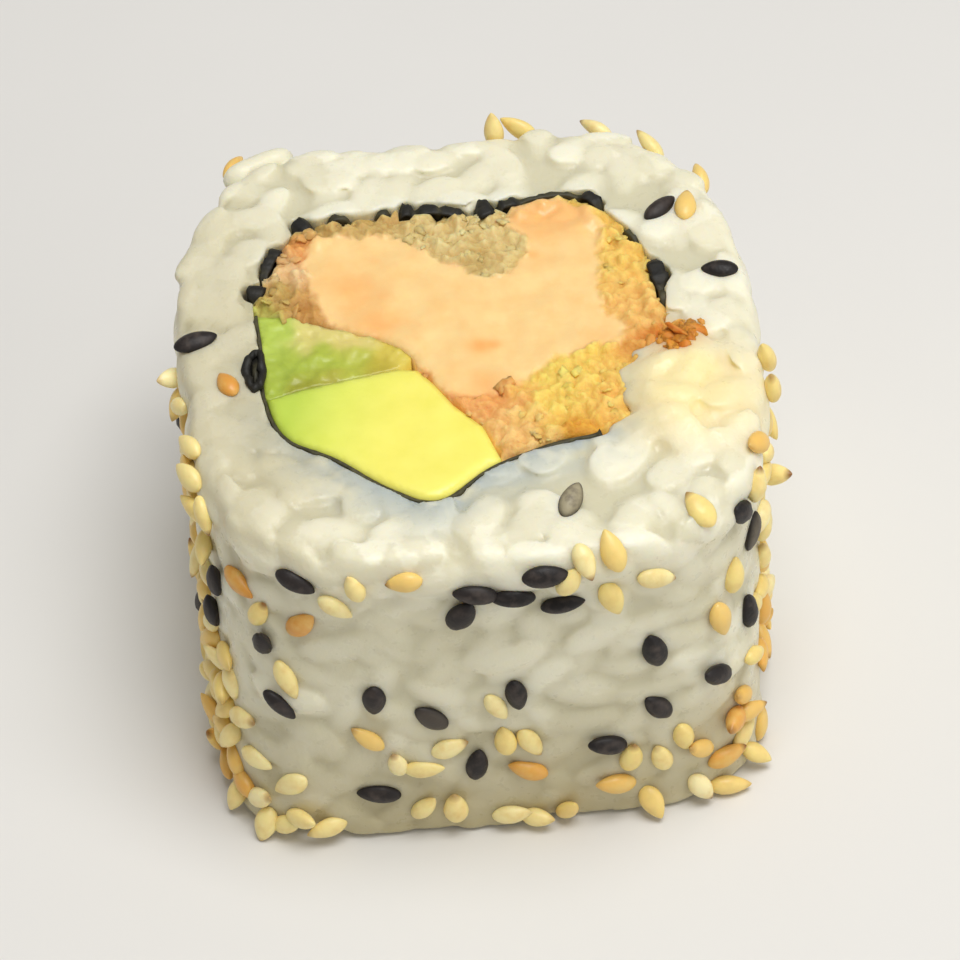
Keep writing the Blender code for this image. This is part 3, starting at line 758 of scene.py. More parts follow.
def finish_colour(tree, shader, colour, value, rough, span=(0.0, 1.0)):
    """The shader's colour, and a roughness that follows a value's span."""
    tree.links.new(colour, shader.inputs["Base Color"])
    node = put(tree, "MapRange", None, Value=value, From_Min=span[0], From_Max=span[1],
               To_Min=rough[0], To_Max=rough[1])
    tree.links.new(node.outputs["Result"], shader.inputs["Roughness"])


def glow_through(shader, weight, radius, scale):
    """Light that scatters under the surface."""
    shader.inputs["Subsurface Weight"].default_value = weight
    shader.inputs["Subsurface Radius"].default_value = radius
    shader.inputs["Subsurface Scale"].default_value = scale


# Finishes.


def rice_finish():
    made, tree, shader = new_finish("rice_cooked", 0.4, 0.35)
    pale = mix(tree, noise_of(tree, 7 * MM), (236, 230, 201), (223, 218, 192))
    grain = mix(tree, layer_of(tree, "tone"), pale, (245, 241, 218))
    # Painted shade: darker where the skin lies below the smooth form, in the creases between grains.
    creases = spread(tree, layer_of(tree, "lift"), -0.6 * MM, 0.1 * MM)
    colour = mix(tree, creases, (214, 208, 178), grain)
    patches = spread(tree, noise_of(tree, 2.6 * MM), 0.28, 0.5)
    colour = mix(tree, product(tree, layer_of(tree, "wet"), patches), colour, RICE_WET)
    for layer, tint in RICE_TINTS:
        colour = mix(tree, layer_of(tree, layer), colour, tint)
    finish_colour(tree, shader, colour, noise_of(tree, 0.8 * MM, 3), (0.56, 0.2), (0.35, 0.7))
    fine = (noise_of(tree, 0.22 * MM, 2), 0.012 * MM)
    bumps(tree, shader, (noise_of(tree, 0.9 * MM, 3), 0.07 * MM), fine)
    glow_through(shader, 0.6, (1.0, 0.85, 0.55), 1.8 * MM)
    return made


def white_seed_finish():
    made, tree, shader = new_finish("sesame_white", 0.45)
    tones = ((0.0, (255, 240, 182)), (0.3, (249, 224, 140)), (0.65, (240, 190, 96)), (1.0, (216, 142, 52)))
    colour = ramp(tree, layer_of(tree, "tone"), tones)
    colour = spotted(tree, colour, (232, 200, 120), (1.1 * MM, 3), 0.45, 0.9)
    tip = product(tree, spread(tree, layer_of(tree, "along"), 0.18, 0.04), layer_of(tree, "tipped"))
    colour = mix(tree, tip, colour, (138, 92, 44))
    finish_colour(tree, shader, colour, noise_of(tree, 0.5 * MM), (0.28, 0.5))
    bumps(tree, shader, (noise_of(tree, 0.35 * MM, 3), 0.025 * MM))
    glow_through(shader, 0.2, (1.0, 0.6, 0.25), 0.5 * MM)
    return made


def black_seed_finish():
    made, tree, shader = new_finish("sesame_black", 0.5, 0.35)
    tones = ((0.0, (22, 18, 17)), (0.7, (54, 46, 43)), (1.0, (166, 156, 128)))
    colour = ramp(tree, layer_of(tree, "tone"), tones)
    colour = spotted(tree, colour, (78, 68, 62), (0.8 * MM, 4), 0.45, 0.8)
    colour = mix(tree, layer_of(tree, "edge"), colour, (30, 26, 27))
    finish_colour(tree, shader, colour, noise_of(tree, 0.4 * MM), (0.38, 0.65))
    bumps(tree, shader, (noise_of(tree, 0.22 * MM, 3), 0.03 * MM))
    return made


def nori_finish():
    made, tree, shader = new_finish("nori_sheet", 0.45)
    fibres = noise_of(tree, 0.7 * MM, 6, 0.65, 0.6)
    edge = ramp(tree, fibres, ((0.3, (44, 42, 26)), (0.55, (72, 68, 42)), (0.8, (110, 102, 66))))
    dark = ramp(tree, fibres, ((0.35, (12, 11, 8)), (0.6, (30, 27, 18)), (0.85, (76, 68, 44))))
    # Thick folds take the dark colours; the curl's middle takes the lighter edge colour as a painted sheen.
    finish_colour(tree, shader, mix(tree, layer_of(tree, "folds_and_sheen"), edge, dark), fibres, (0.4, 0.8))
    bumps(tree, shader, (noise_of(tree, 0.5 * MM, 5, 0.6), 0.09 * MM))
    return made


def salmon_finish():
    """Smooth flesh and rough coat in one, by the paint and coat layers."""
    made, tree, shader = new_finish("salmon_breaded", 0.4)
    paint = layer_of(tree, "paint", "Color")
    coat = layer_of(tree, "coat")
    crumbed = tinted(tree, 0.5, paint, (226, 188, 130), (0.8 * MM, 4, 0.6), 0.3, 0.75)
    flesh = tinted(tree, 0.5, paint, (252, 232, 214), (1.6 * MM, 3), 0.35, 0.7)
    finish_colour(tree, shader, mix(tree, coat, flesh, crumbed), coat, (0.38, 0.66))
    crags = product(tree, noise_of(tree, 0.4 * MM, 4, 0.6), coat)
    bumps(tree, shader, (noise_of(tree, 0.9 * MM, 2), 0.04 * MM), (crags, 0.16 * MM))
    glow_through(shader, 0.4, (1.0, 0.6, 0.3), 1.0 * MM)
    return made


def crumb_finish():
    made, tree, shader = new_finish("coat_crumbs", 0.5)
    paint = layer_of(tree, "paint", "Color")
    fried = tinted(tree, 0.6, paint, (232, 198, 146), (0.5 * MM, 3), 0.35, 0.75)
    finish_colour(tree, shader, fried, noise_of(tree, 0.4 * MM), (0.5, 0.75))
    bumps(tree, shader, (noise_of(tree, 0.25 * MM, 4, 0.6), 0.05 * MM))
    glow_through(shader, 0.5, (1.0, 0.7, 0.35), 0.9 * MM)
    return made


def avocado_finish(name):
    """Avocado flesh in the paint layer's colour, with fine fibres and a moist sheen."""
    made, tree, shader = new_finish(name, 0.3)
    paint = layer_of(tree, "paint", "Color")
    clouded = tinted(tree, 0.6, paint, (240, 242, 206), (2.2 * MM, 3), 0.3, 0.75)
    finish_colour(tree, shader, clouded, noise_of(tree, 1.2 * MM, 2), (0.28, 0.46))
    fibres = (noise_of(tree, 0.3 * MM, 3), 0.012 * MM)
    bumps(tree, shader, (noise_of(tree, 1.6 * MM, 2), 0.05 * MM), fibres)
    glow_through(shader, 0.35, (1.0, 1.0, 0.35), 0.9 * MM)
    return made


# Rice.


def wall_distance(filling):
    """How far outside the filling's outline the rice stands: against the nori, or in its gap."""
    wrap = 2 * NORI_ROOM + nori_edge(filling)[0]
    return wrap + (NORI_ROOM - wrap) * in_gap(filling)


def radius_at(loop):
    """A function that gives a loop's distance from the axis at any angle."""
    order = np.argsort(np.arctan2(loop[:, 1], loop[:, 0]))
    angles = np.arctan2(loop[order, 1], loop[order, 0])
    radii = np.linalg.norm(loop[order], axis=1)
    return lambda angle: np.interp(angle, angles, radii, period=TURN)


def rice_core(wall):
    """The points and faces of the solid ring under the grains."""
    angles = np.arctan2(wall[:, 1], wall[:, 0])
    heights = np.linspace(0, HEIGHT - CORE_DROP, CORE_RINGS)
    rings = []
    for height in heights:
        radius = side_radius(angles, height) - CORE_INSET
        level = np.full_like(radius, height)
        rings.append(np.column_stack([radius * np.cos(angles), radius * np.sin(angles), level]))
    for height in heights[::-1]:
        rings.append(np.column_stack([wall, np.full(len(wall), height)]))
    return np.vstack(rings), ring_faces(len(rings), len(wall), True)


def pressed_grains(draw, wall_at):
    """(centre, rotation, size) of the grains that cover the side and both cuts."""
    places = []

    def add(centre, turned):
        size = [side * draw.uniform(*GRAIN_SPAN) for side in GRAIN_SIZE]
        places.append((centre, turned, size))

    for row in range(SIDE_GRAIN_ROWS):
        for column in range(SIDE_GRAIN_COLUMNS):
            angle = TURN * (column + 0.5 * (row % 2) + draw.uniform(-0.4, 0.4)) / SIDE_GRAIN_COLUMNS
            height = HEIGHT * (row + 0.5 + draw.uniform(-0.35, 0.35)) / SIDE_GRAIN_ROWS
            normal = side_normal(angle, height)
            deep = 0.5 * GRAIN_SIZE[2] - draw.gauss(0, GRAIN_SCATTER)
            turned = frame_on(normal, draw.uniform(0, TURN), draw.uniform(-SIDE_GRAIN_TILT, SIDE_GRAIN_TILT))
            add(side_point(angle, height) - normal * deep, turned)
    for height, up in ((HEIGHT, 1), (0.0, -1)):
        for share in CUT_GRAIN_RINGS:
            count = round(TURN * (CUT_RING_RADIUS + CUT_RING_WIDTH * share) * MM / CUT_GRAIN_SPACING)
            for number in range(count):
                angle = TURN * (number + draw.uniform(-0.4, 0.4)) / count
                near = share + draw.uniform(-0.1, 0.1)
                inner = wall_at(angle)
                radius = inner + near * (side_radius(angle, HEIGHT - 0.5 * TOP_RIM) - inner)
                deep = 0.42 * GRAIN_SIZE[2] - draw.gauss(0, GRAIN_SCATTER)
                centre = round_point(radius, angle, height - up * deep)
                pitch = draw.uniform(-CUT_GRAIN_PITCH, CUT_GRAIN_PITCH)
                add(centre, Euler((0, pitch, draw.uniform(0, TURN))).to_matrix())
    return places


def press(copies, draw, wall_at):
    """Flattens the grains where the mat, the knife and the nori pressed them."""
    limits = np.array([draw.gauss(0, GRAIN_SCATTER) for _ in copies])[:, None]
    radius, angle = around(copies)
    z = copies[..., 2]
    most = side_radius(angle, np.clip(z, 0, HEIGHT)) + limits
    pressed = np.where(radius > most, most + GRAIN_PRESSED * (radius - most), radius)
    pressed = np.maximum(pressed, wall_at(angle))
    copies[..., :2] *= (pressed / radius)[..., None]
    top = HEIGHT + 0.5 * limits
    copies[..., 2] = np.maximum(np.where(z > top, top + GRAIN_PRESSED * (z - top), z), 0.0)


def standing_grains():
    """(centre, rotation, size) of the grains that stand out, where the solid has them."""
    draw = random.Random(RANDOM_SEED)
    side_seeds(draw)
    places = []
    for angle, height, heading, sunk in proud_grains(draw):
        normal = side_normal(angle, height)
        centre = side_point(angle, height) + normal * GRAIN_SIZE[2] * (0.5 - sunk)
        places.append((centre, frame_on(normal, heading, 0.0), GRAIN_SIZE))
    for x, y, heading in RAISED_GRAINS:
        turned = Euler((0, RAISED_PITCH, math.radians(heading))).to_matrix()
        places.append((Vector((x * MM, y * MM, HEIGHT - RAISED_SUNK)), turned, GRAIN_SIZE))
    return places


def proud_grains(draw):
    """(angle, height, heading, share sunk) of the grains that stand out."""
    grains = [(CORNER_GRAIN_AT, HEIGHT - CORNER_GRAIN_DEPTH, 0.0, CORNER_GRAIN_SUNK)]
    for number in range(RIM_GRAINS):
        angle = TURN * (number + draw.uniform(-0.3, 0.3)) / RIM_GRAINS
        height = HEIGHT - draw.uniform(*RIM_GRAIN_DEPTH)
        grains.append((angle, height, draw.uniform(-0.4, 0.4), GRAIN_SUNK))
    low, high = SIDE_GRAIN_BAND
    for number in range(SIDE_GRAINS):
        angle = TURN * (number + draw.uniform(-0.4, 0.4)) / SIDE_GRAINS
        height = HEIGHT * (low + (high - low) * ((number * GOLDEN_SHARE) % 1))
        grains.append((angle, height, draw.uniform(0, TURN), GRAIN_SUNK))
    return grains


def merged(points, faces):
    """One closed skin round overlapping bodies, by a fine voxel remesh and smoothing."""
    rough = new_piece("rough", points, faces, None)
    remesh = rough.modifiers.new("merge", "REMESH")
    remesh.mode = "VOXEL"
    remesh.voxel_size = RICE_VOXEL
    smooth = rough.modifiers.new("smooth", "SMOOTH")
    smooth.factor = 0.5
    smooth.iterations = RICE_SMOOTHING
    thin = rough.modifiers.new("thin", "DECIMATE")
    thin.ratio = RICE_FACES_KEPT
    graph = bpy.context.evaluated_depsgraph_get()
    mesh = bpy.data.meshes.new_from_object(rough.evaluated_get(graph))
    bpy.data.objects.remove(rough)
    return mesh


def points_of(mesh):
    flat = np.empty(3 * len(mesh.vertices), np.float32)
    mesh.vertices.foreach_get("co", flat)
    return flat.reshape(-1, 3).astype(float)


def off_form(points):
    """How far each point stands off the side's and the upper cut's smooth forms."""
    radius, angle = around(points)
    return radius - side_radius(angle, np.clip(points[:, 2], 0, HEIGHT)), points[:, 2] - HEIGHT


def settled(points):
    """The rice's points with their relief pressed shallow, and the raised lump at the front right."""
    points = points.copy()
    aside, above = off_form(points)

    def pressed(off):
        kept = RELIEF_KEPT + (1 - RELIEF_KEPT) * held(off / STANDING_RELIEF)
        return off * (1 - kept) * np.exp(-(off / RELIEF_REACH) ** 4)

    level = held(1 + (points[:, 2] - HEIGHT) / RELIEF_REACH)
    points[:, :2] *= (1 - pressed(aside) * (1 - level) / around(points)[0])[:, None]
    points[:, 2] -= pressed(above) * level
    away = plan_distance(points, LUMP_MIDDLE, LUMP_REACH)
    near_top = held((points[:, 2] - 0.75 * HEIGHT) / (0.25 * HEIGHT))
    points[:, 2] += LUMP_RISE * held(2.2 * (1 - away)) * near_top
    points[:, 2] = np.maximum(points[:, 2], 0.0)
    return points


def rice_layers(mesh, places, draw, filling):
    """Each grain's tone, the height over the smooth form, where the rice is wet, bright or stained, and
    where painted shade darkens it low on the front and on the left of the upper cut. The rice then
    settles, flush with the nori's edge."""
    points = points_of(mesh)
    axis_points = kdtree.KDTree(3 * len(places))
    tones = [draw.random() for _ in places]
    for index, (centre, turned, size) in enumerate(places):
        for share in (-0.3, 0.0, 0.3):
            axis_points.insert(centre + turned @ Vector((share * size[0], 0, 0)), index)
    axis_points.balance()
    aside, above = off_form(points)
    radius, angle = around(points)
    from_nori = radius - radius_at(filling)(angle)
    on_cut = held(above / MM + 2)
    to_front = held(0.2 - np.sin(angle + 0.1))
    high = held((points[:, 2] - 0.7 * HEIGHT) / (5 * MM))
    # Painted shade: darker towards the foot of the front, and on the left of the upper cut.
    low = held(1 - points[:, 2] / (0.5 * HEIGHT)) * held(-np.sin(angle))
    left_shade = held(1.6 - plan_distance(points, PAINTED_SHADE_MIDDLE, PAINTED_SHADE_REACH)) * on_cut
    add_layers(mesh, {
        "tone": [tones[axis_points.find(p)[1]] for p in points],
        "lift": np.maximum(aside, above),
        "wet": held(1.15 - from_nori / WET_REACH) * on_cut * to_front,
        "warm": held(1.4 - plan_distance(points, LUMP_MIDDLE) / WARM_REACH) * high,
        "painted_shade": np.maximum(0.48 * left_shade, low),
        "stain": 0.85 * held(1.2 - plan_distance(points, SPILL_MIDDLE) / STAIN_REACH) * on_cut,
    })
    points = settled(points)
    flush = held(1.4 - from_nori / MM) * (above > -RELIEF_REACH)
    points[:, 2] += 0.75 * flush * np.clip(HEIGHT - NORI_SUNK - points[:, 2], 0, MM)
    mesh.vertices.foreach_set("co", points.astype(np.float32).ravel())


def make_rice(filling):
    """The rice ring of single grains that the mat pressed together."""
    draw = random.Random(RANDOM_SEED)
    wall = offset_loop(filling, wall_distance(filling))
    wall_at = radius_at(wall)
    places = pressed_grains(draw, wall_at)
    standing = standing_grains()
    copies, faces = stamp(grain_form(), places)
    press(copies, draw, wall_at)
    proud, proud_faces = stamp(grain_form(), standing)
    core, core_faces = rice_core(wall)
    parts = [copies.reshape(-1, 3), proud.reshape(-1, 3), core]
    starts = np.cumsum([0] + [len(part) for part in parts])
    all_faces = np.vstack([f + s for f, s in zip((faces, proud_faces, core_faces), starts)])
    mesh = merged(np.vstack(parts), all_faces)
    mesh.name = "rice_grains"
    rice_layers(mesh, places + standing, draw, filling)
    mesh.shade_smooth()
    mesh.materials.append(rice_finish())
    return placed("rice_grains", mesh, -BASE_MIDDLE)


# Sesame.


def free_place(draw, patch, taken, spacing):
    """An angle and a height in a patch, clear of the seeds so far, or else the last one tried."""
    start, end, low, high = patch[:4]
    for _ in range(PLACING_TRIES):
        angle = math.radians(draw.uniform(start, end))
        height = HEIGHT * draw.uniform(low, high)
        point = side_point(angle, height)
        if all((point - other).length > spacing for other in taken):
            break
    return angle, height


def side_seeds(draw):
    """(angle, height, heading, tilt, is black, roast) of each seed on the outside, as in the solid.

    The roast is None where the solid's list leaves it open."""
    seeds = []
    taken = []

    def add(angle, height, heading, tilt, is_black, roast):
        length, width, _ = BLACK_SEED_SIZE if is_black else WHITE_SEED_SIZE
        reach = length * abs(math.sin(heading)) * math.cos(tilt) + width * abs(math.cos(heading))
        clear = max(height, 0.5 * reach)
        taken.append(side_point(angle, clear))
        seeds.append((angle, clear, heading, tilt, is_black, roast))

    for rows, is_black in ((BLACK_SEEDS, True), (WHITE_SEEDS, False)):
        for angle, height, heading, tilt, *roast in rows:
            place = (math.radians(angle), height * MM, math.radians(heading), math.radians(tilt))
            add(*place, is_black, roast[0] if roast else None)
    for patch in SEED_PATCHES:
        white, black = patch[4:]
        for number in range(white + black):
            place = free_place(draw, patch, taken, SEED_SPACING)
            heading = draw.uniform(0, TURN)
            add(*place, heading, SEED_TILT * draw.uniform(-0.3, 1.0), number < black, None)
    return seeds


def extra_seeds(draw, seeds):
    """More white seeds, in the places where they crowd together."""
    taken = [side_point(angle, height) for angle, height, *_ in seeds]
    extra = []
    for patch in EXTRA_PATCHES:
        for _ in range(patch[4]):
            place = free_place(draw, patch, taken, EXTRA_SPACING)
            taken.append(side_point(*place))
            heading = draw.uniform(0, TURN)
            extra.append((*place, heading, draw.uniform(-0.2, 1) * EXTRA_TILT, False, None))
    return extra


def resting_place(surface, start, direction, forward, side, size):
    """Where a seed rests on the bumps under it: the point and the surface's direction there."""
    hits = []
    for along, across in ((0.32, 0), (-0.32, 0), (0, 0.3), (0, -0.3), (0, 0)):
        origin = start + forward * along * size[0] + side * across * size[1]
        hit = surface.ray_cast(origin, direction)[0]
        if hit is None:
            return None
        hits.append(hit)
    normal = (hits[0] - hits[1]).cross(hits[2] - hits[3]).normalized()
    if normal.dot(direction) > 0:
        normal = -normal
    return sum(hits, Vector()) / len(hits), normal


def seed_place(surface, start, direction, normal, heading, tilt, size):
    """The centre and the rotation of a seed laid on the rice."""
    guide = frame_on(normal, heading, 0.0) if abs(normal.z) < 0.99 else Matrix.Rotation(heading, 3, "Z")
    found = resting_place(surface, start, direction, guide.col[0], guide.col[1], size)
    if found is None:
        return None
    point, bed = found
    bed = (bed + SEED_LEVELLING * normal).normalized()
    forward = (guide.col[0] - bed * bed.dot(guide.col[0])).normalized()
    forward = forward * math.cos(tilt) + bed * math.sin(tilt)
    side = bed.cross(forward).normalized()
    up = forward.cross(side)
    centre = point + bed * (size[2] * (0.5 - SEED_SUNK) + 0.3 * size[0] * abs(math.sin(tilt)))
    return centre, Matrix((forward, side, up)).transposed()


def make_seeds(surface):
    """The white and the black seeds, each lot one piece, resting on the grains."""
    draw = random.Random(RANDOM_SEED)
    seeds = side_seeds(draw)
    draw = random.Random(RANDOM_SEED + 1)
    seeds += extra_seeds(draw, seeds)
    laid = {True: [], False: []}
    tones = {True: [], False: []}

    def lay(is_black, roast, *place):
        base = BLACK_SEED_SIZE if is_black else WHITE_SEED_SIZE
        grown = 1 - draw.uniform(0, SEED_SIZE_SPREAD)
        size = [side * grown * draw.uniform(*span) for side, span in zip(base, SEED_SPANS)]
        found = seed_place(surface, *place, size)
        drawn = draw.betavariate(*ROAST_SPREAD)
        if found:
            laid[is_black].append((*found, size))
            tones[is_black].append(drawn if roast is None else roast)

    for angle, height, heading, tilt, is_black, roast in seeds:
        outward = Vector((math.cos(angle), math.sin(angle), 0))
        start = outward * 2 * HALF_DEPTH + Vector((0, 0, height))
        lay(is_black, roast, start, -outward, side_normal(angle, height), heading, tilt)
    for angle, radius, heading, tilt, is_black, roast in CUT_SEEDS:
        angle = math.radians(angle)
        start = round_point(radius * MM, angle, 2 * HEIGHT)
        turned = (math.radians(heading), math.radians(tilt))
        lay(is_black, roast, start, Vector((0, 0, -1)), Vector((0, 0, 1)), *turned)
    pieces = []
    for is_black, name, finish in (
        (False, "white_seeds", white_seed_finish()), (True, "black_seeds", black_seed_finish()),
    ):
        form = seed_form(*(BLACK_SEED_FORM if is_black else WHITE_SEED_FORM))
        copies, faces = stamp(form, laid[is_black])
        copies[..., 2] = np.maximum(copies[..., 2], 0.0)
        many, each = copies.shape[:2]
        tipped = [draw.random() ** 2 for _ in range(many)]
        layers = {
            "tone": np.repeat(tones[is_black], each),
            "along": np.tile(0.5 - form[0][:, 0], many),
            "edge": np.tile(held(1 - np.abs(form[0][:, 2]) / 0.3), many),
            "tipped": np.repeat(tipped, each),
        }
        pieces.append(new_piece(name, copies.reshape(-1, 3), faces, finish, layers))
    return pieces


# Nori.


def nori_curl():
    """The points and faces of a small curl of nori: a rolled rim round a hollow."""
    rings = []
    for k in range(CURL_STEPS):
        angle = TURN * k / CURL_STEPS
        out = np.array((math.cos(angle), math.sin(angle)))
        middle = np.array(CURL_MIDDLE) + out * CURL_REACH * (1 + 0.5 * plan_noise(out, 0.8))
        rim = CURL_RIM * (1 + 0.7 * plan_noise(out + 3, 0.6))
        rise = HEIGHT + 0.15 * MM + 0.35 * MM * plan_noise(out + 7, 0.9)
        for turn in TURN * np.arange(CURL_SIDES) / CURL_SIDES:
            plan = middle + out * rim * math.cos(turn)
            rings.append((*plan, rise + rim * math.sin(turn)))
    faces = ring_faces(CURL_STEPS, CURL_SIDES, True).tolist()
    inner = [CURL_SIDES * k + CURL_SIDES // 2 for k in range(CURL_STEPS)]
    faces += [(point, following, len(rings)) for point, following in zip(inner, inner[1:] + inner[:1])]
    rings.append((*CURL_MIDDLE, HEIGHT + 0.35 * MM))
    return np.array(rings), faces


def make_nori(filling):
    """The sheet of nori round the filling, open at its gap, with a ragged upper edge."""
    loop = respaced(filling, NORI_SPACING)
    thickness, shown = nori_edge(loop)
    folded = FOLDED_IN * np.clip(thickness - NORI_FOLD, 0, None)
    inner = offset_loop(loop, NORI_ROOM)
    outer = offset_loop(loop, NORI_ROOM + thickness - folded)
    kept = np.flatnonzero(in_gap(loop) == 0)
    first = int(np.flatnonzero(~np.isin((kept - 1) % len(loop), kept))[0])
    kept = np.roll(kept, -first)
    ragged = thickness / MM * (0.1 * waves(loop, 1.6 * MM) + 0.1 * waves(loop, 0.45 * MM))
    raised = held((thickness - NORI_THIN) / (0.6 * MM))
    tops = HEIGHT + ragged * MM - NORI_SUNK + NORI_SUNK * raised - NORI_HIDDEN * (1 - shown)
    rings = []
    for i in kept:
        drops = np.array([*NORI_DROPS, tops[i] - FOOT_CLEARANCE])
        across = outer[i] - inner[i]
        fold = -across / np.linalg.norm(across) * folded[i]
        wave = 0.2 * np.array([noise.noise(Vector((*loop[i], drop)) / (0.9 * MM)) for drop in drops])
        side = [(*(inner[i] + across * (1 + w)), tops[i] - drop) for w, drop in zip(wave, drops)]
        crown = []
        for share in (0.8, 0.5, 0.2):
            lift = 0.05 * thickness[i] * math.sin(math.pi * share)
            crown.append((*(inner[i] + fold * (1 - share) + across * share), tops[i] + lift))
        tuck = [(*(inner[i] + fold), tops[i] - 0.05 * MM), (*inner[i], tops[i] - 0.35 * MM)]
        back = [(*inner[i], tops[i] - drop) for drop in drops[2:]]
        rings.append(side[::-1] + crown + tuck + back)
    size = len(rings[0])
    faces = ring_faces(len(rings), size, False).tolist()
    faces.append(tuple(range(size))[::-1])
    faces.append(tuple((len(rings) - 1) * size + i for i in range(size)))
    points = np.array(rings).reshape(-1, 3)
    curl, curl_faces = nori_curl()
    faces += [tuple(len(points) + i for i in face) for face in curl_faces]
    folds_and_sheen = np.concatenate([np.repeat(raised[kept], size), np.ones(len(curl))])
    # Painted sheen: the curl's middle point takes mostly the thin edge's lighter colour.
    folds_and_sheen[-1] = 0.3
    return new_piece("nori_wrap", np.vstack([points, curl]), faces, nori_finish(), {"folds_and_sheen": folds_and_sheen})


# Fillings.


def cap(outline, spacing):
    """Points and triangles that fill a plan outline, its own points first."""
    low, high = outline.min(axis=0), outline.max(axis=0)
    rows = np.arange(low[1], high[1], spacing * math.sqrt(0.75))
    grid = []
    for number, y in enumerate(rows):
        x = np.arange(low[0] + 0.5 * spacing * (number % 2), high[0], spacing)
        grid.append(np.column_stack([x, np.full(len(x), y)]))
    grid = np.vstack(grid)
    grid = grid[inside_loop(grid, outline)]
    grid = grid[loop_distance(grid, outline) > 0.6 * spacing]
    points = [Vector(p) for p in np.vstack([outline, grid])]
    border = list(range(len(outline)))
    found = geometry.delaunay_2d_cdt(points, [], [border], 1, 1e-9)
    return np.array([tuple(p) for p in found[0]]), found[2]


def strip_form(outline, spacing, relief):
    """A filling that runs from cut to cut: relief on its upper cut, and a plain lower one."""
    top, top_faces = cap(outline, spacing)
    foot, foot_faces = cap(outline, max(spacing, FOOT_SPACING))
    points = [(*p, HEIGHT + z) for p, z in zip(top, relief(top))]
    points += [(*p, FOOT_CLEARANCE) for p in foot]
    start = len(top)
    faces = [tuple(f) for f in top_faces]
    faces += [tuple(start + i for i in reversed(f)) for f in foot_faces]
    count = len(outline)
    for i in range(count):
        k = (i + 1) % count
        faces.append((i, start + i, start + k, k))
    return np.array(points), faces


def coat_depth(points, filling):
    """How deep in the rough coat a plan point of the breaded strip lies: 1 at its outside."""
    return held(1 - loop_distance(points, filling) / COAT_DEPTH)


def coat_share(points, flesh):
    """0 on the smooth flesh and 1 on the crumb coat, with a ragged edge between."""
    away = loop_distance(points, flesh) * np.where(inside_loop(points, flesh), -1, 1)
    ragged = away + 0.45 * MM * waves(points, 1.2 * MM) + 0.2 * MM * waves(points + 1, 0.5 * MM)
    return held(0.5 + ragged / (0.5 * MM))


def coat_lumps(points):
    """The soft lumps of the coat, 0 in the creases between them."""
    return 0.9 * np.abs(waves(points, 1.3 * MM)) + 0.5 * np.abs(waves(points, 0.6 * MM))


def blended(points, tones, ragged):
    """A colour at each plan point, blended from the tones with ragged borders."""
    shifted = points + np.column_stack([waves(points, 1.4 * MM), waves(points + 0.5, 1.4 * MM)]) * ragged
    total = np.zeros((len(points), 4))
    weights = np.zeros(len(points))
    for x, y, reach, colour in tones:
        away = plan_distance(shifted, (x * MM, y * MM)) / (reach * MM)
        weight = np.exp(-away ** 2) + 1e-9 / (1e-3 + away)
        total += weight[:, None] * np.array(srgb(*colour))
        weights += weight
    return total / weights[:, None]


def coat_colours(points):
    """The coat's tones, with painted shade that makes them darker and browner in its creases and painted
    light that makes its lumps a little lighter.
    """
    shade = np.clip(0.84 + 0.45 * coat_lumps(points), 0, 1.1)
    return blended(points, COAT_TONES, 1.2 * MM) * shade[:, None] ** np.array((0.6, 1.1, 1.8, 0.0))


def flesh_colours(points):
    """Peach, warmer in its spots."""
    warmth = 0.12 * waves(points, 3.0 * MM) + 0.06 * waves(points, 1.1 * MM) + 0.1
    for x, y, reach, strength in FLESH_SPOTS:
        away = plan_distance(points, (x * MM, y * MM)) / (reach * MM)
        warmth += strength * np.exp(-away ** 2)
    warmth = held(warmth)[:, None]
    return (1 - warmth) * np.array(srgb(254, 218, 152)) + warmth * np.array(srgb(252, 184, 108))


def make_salmon(outline, filling, rice):
    """The breadcrumbed strip, and the loose crumbs of its coat."""
    flesh = smooth_loop(FLESH_OUTLINE[::-1], 140)

    def crag(points):
        return (waves(points, CRAG_LENGTH) + 0.2) * coat_depth(points, filling)

    def relief(points):
        coat = coat_share(points, flesh)
        rise = FLAKE_RISE * waves(points, FLAKE_LENGTH) + CRAG_RISE * crag(points)
        rise += coat * (coat_lumps(points) - 0.3) * MM
        rise -= COAT_DROP * coat_depth(points, filling)
        return rise - edge_rounding(points, border, 0.3 * MM, 0.9 * MM)

    border = respaced(outline, COAT_BORDER_SPACING)
    lapped = COAT_LAP * (1 - nori_edge(border)[1]) * (1 + 0.9 * waves(border, 0.9 * MM))
    border = offset_loop(border, lapped - NORI_ROOM)
    border = offset_loop(border, -CRAG_BITE * np.maximum(0.0, crag(border)))
    points, faces = strip_form(border, STRIP_SPACING, relief)
    coat = coat_share(points[:, :2], flesh)[:, None]
    paint = coat * coat_colours(points[:, :2]) + (1 - coat) * flesh_colours(points[:, :2])
    layers = {"coat": coat[:, 0], "paint": paint}
    strip = new_piece("salmon_strip", points, faces, salmon_finish(), layers)
    return strip, make_crumbs(strip, rice, border, flesh)


def crumb_forms(draw):
    """A few ragged crumbs of unit size."""
    forms = []
    for _ in range(CRUMB_FORMS):
        bm = bmesh.new()
        bmesh.ops.create_icosphere(bm, subdivisions=2, radius=0.5)
        shift = Vector([draw.uniform(0, 50) for _ in range(3)])
        for vertex in bm.verts:
            vertex.co *= 1 + 0.8 * noise.noise(vertex.co * 2.6 + shift)
        bm.verts.index_update()
        points = np.array([tuple(v.co) for v in bm.verts])
        forms.append((points, np.array([[v.index for v in f.verts] for f in bm.faces])))
        bm.free()
    return forms


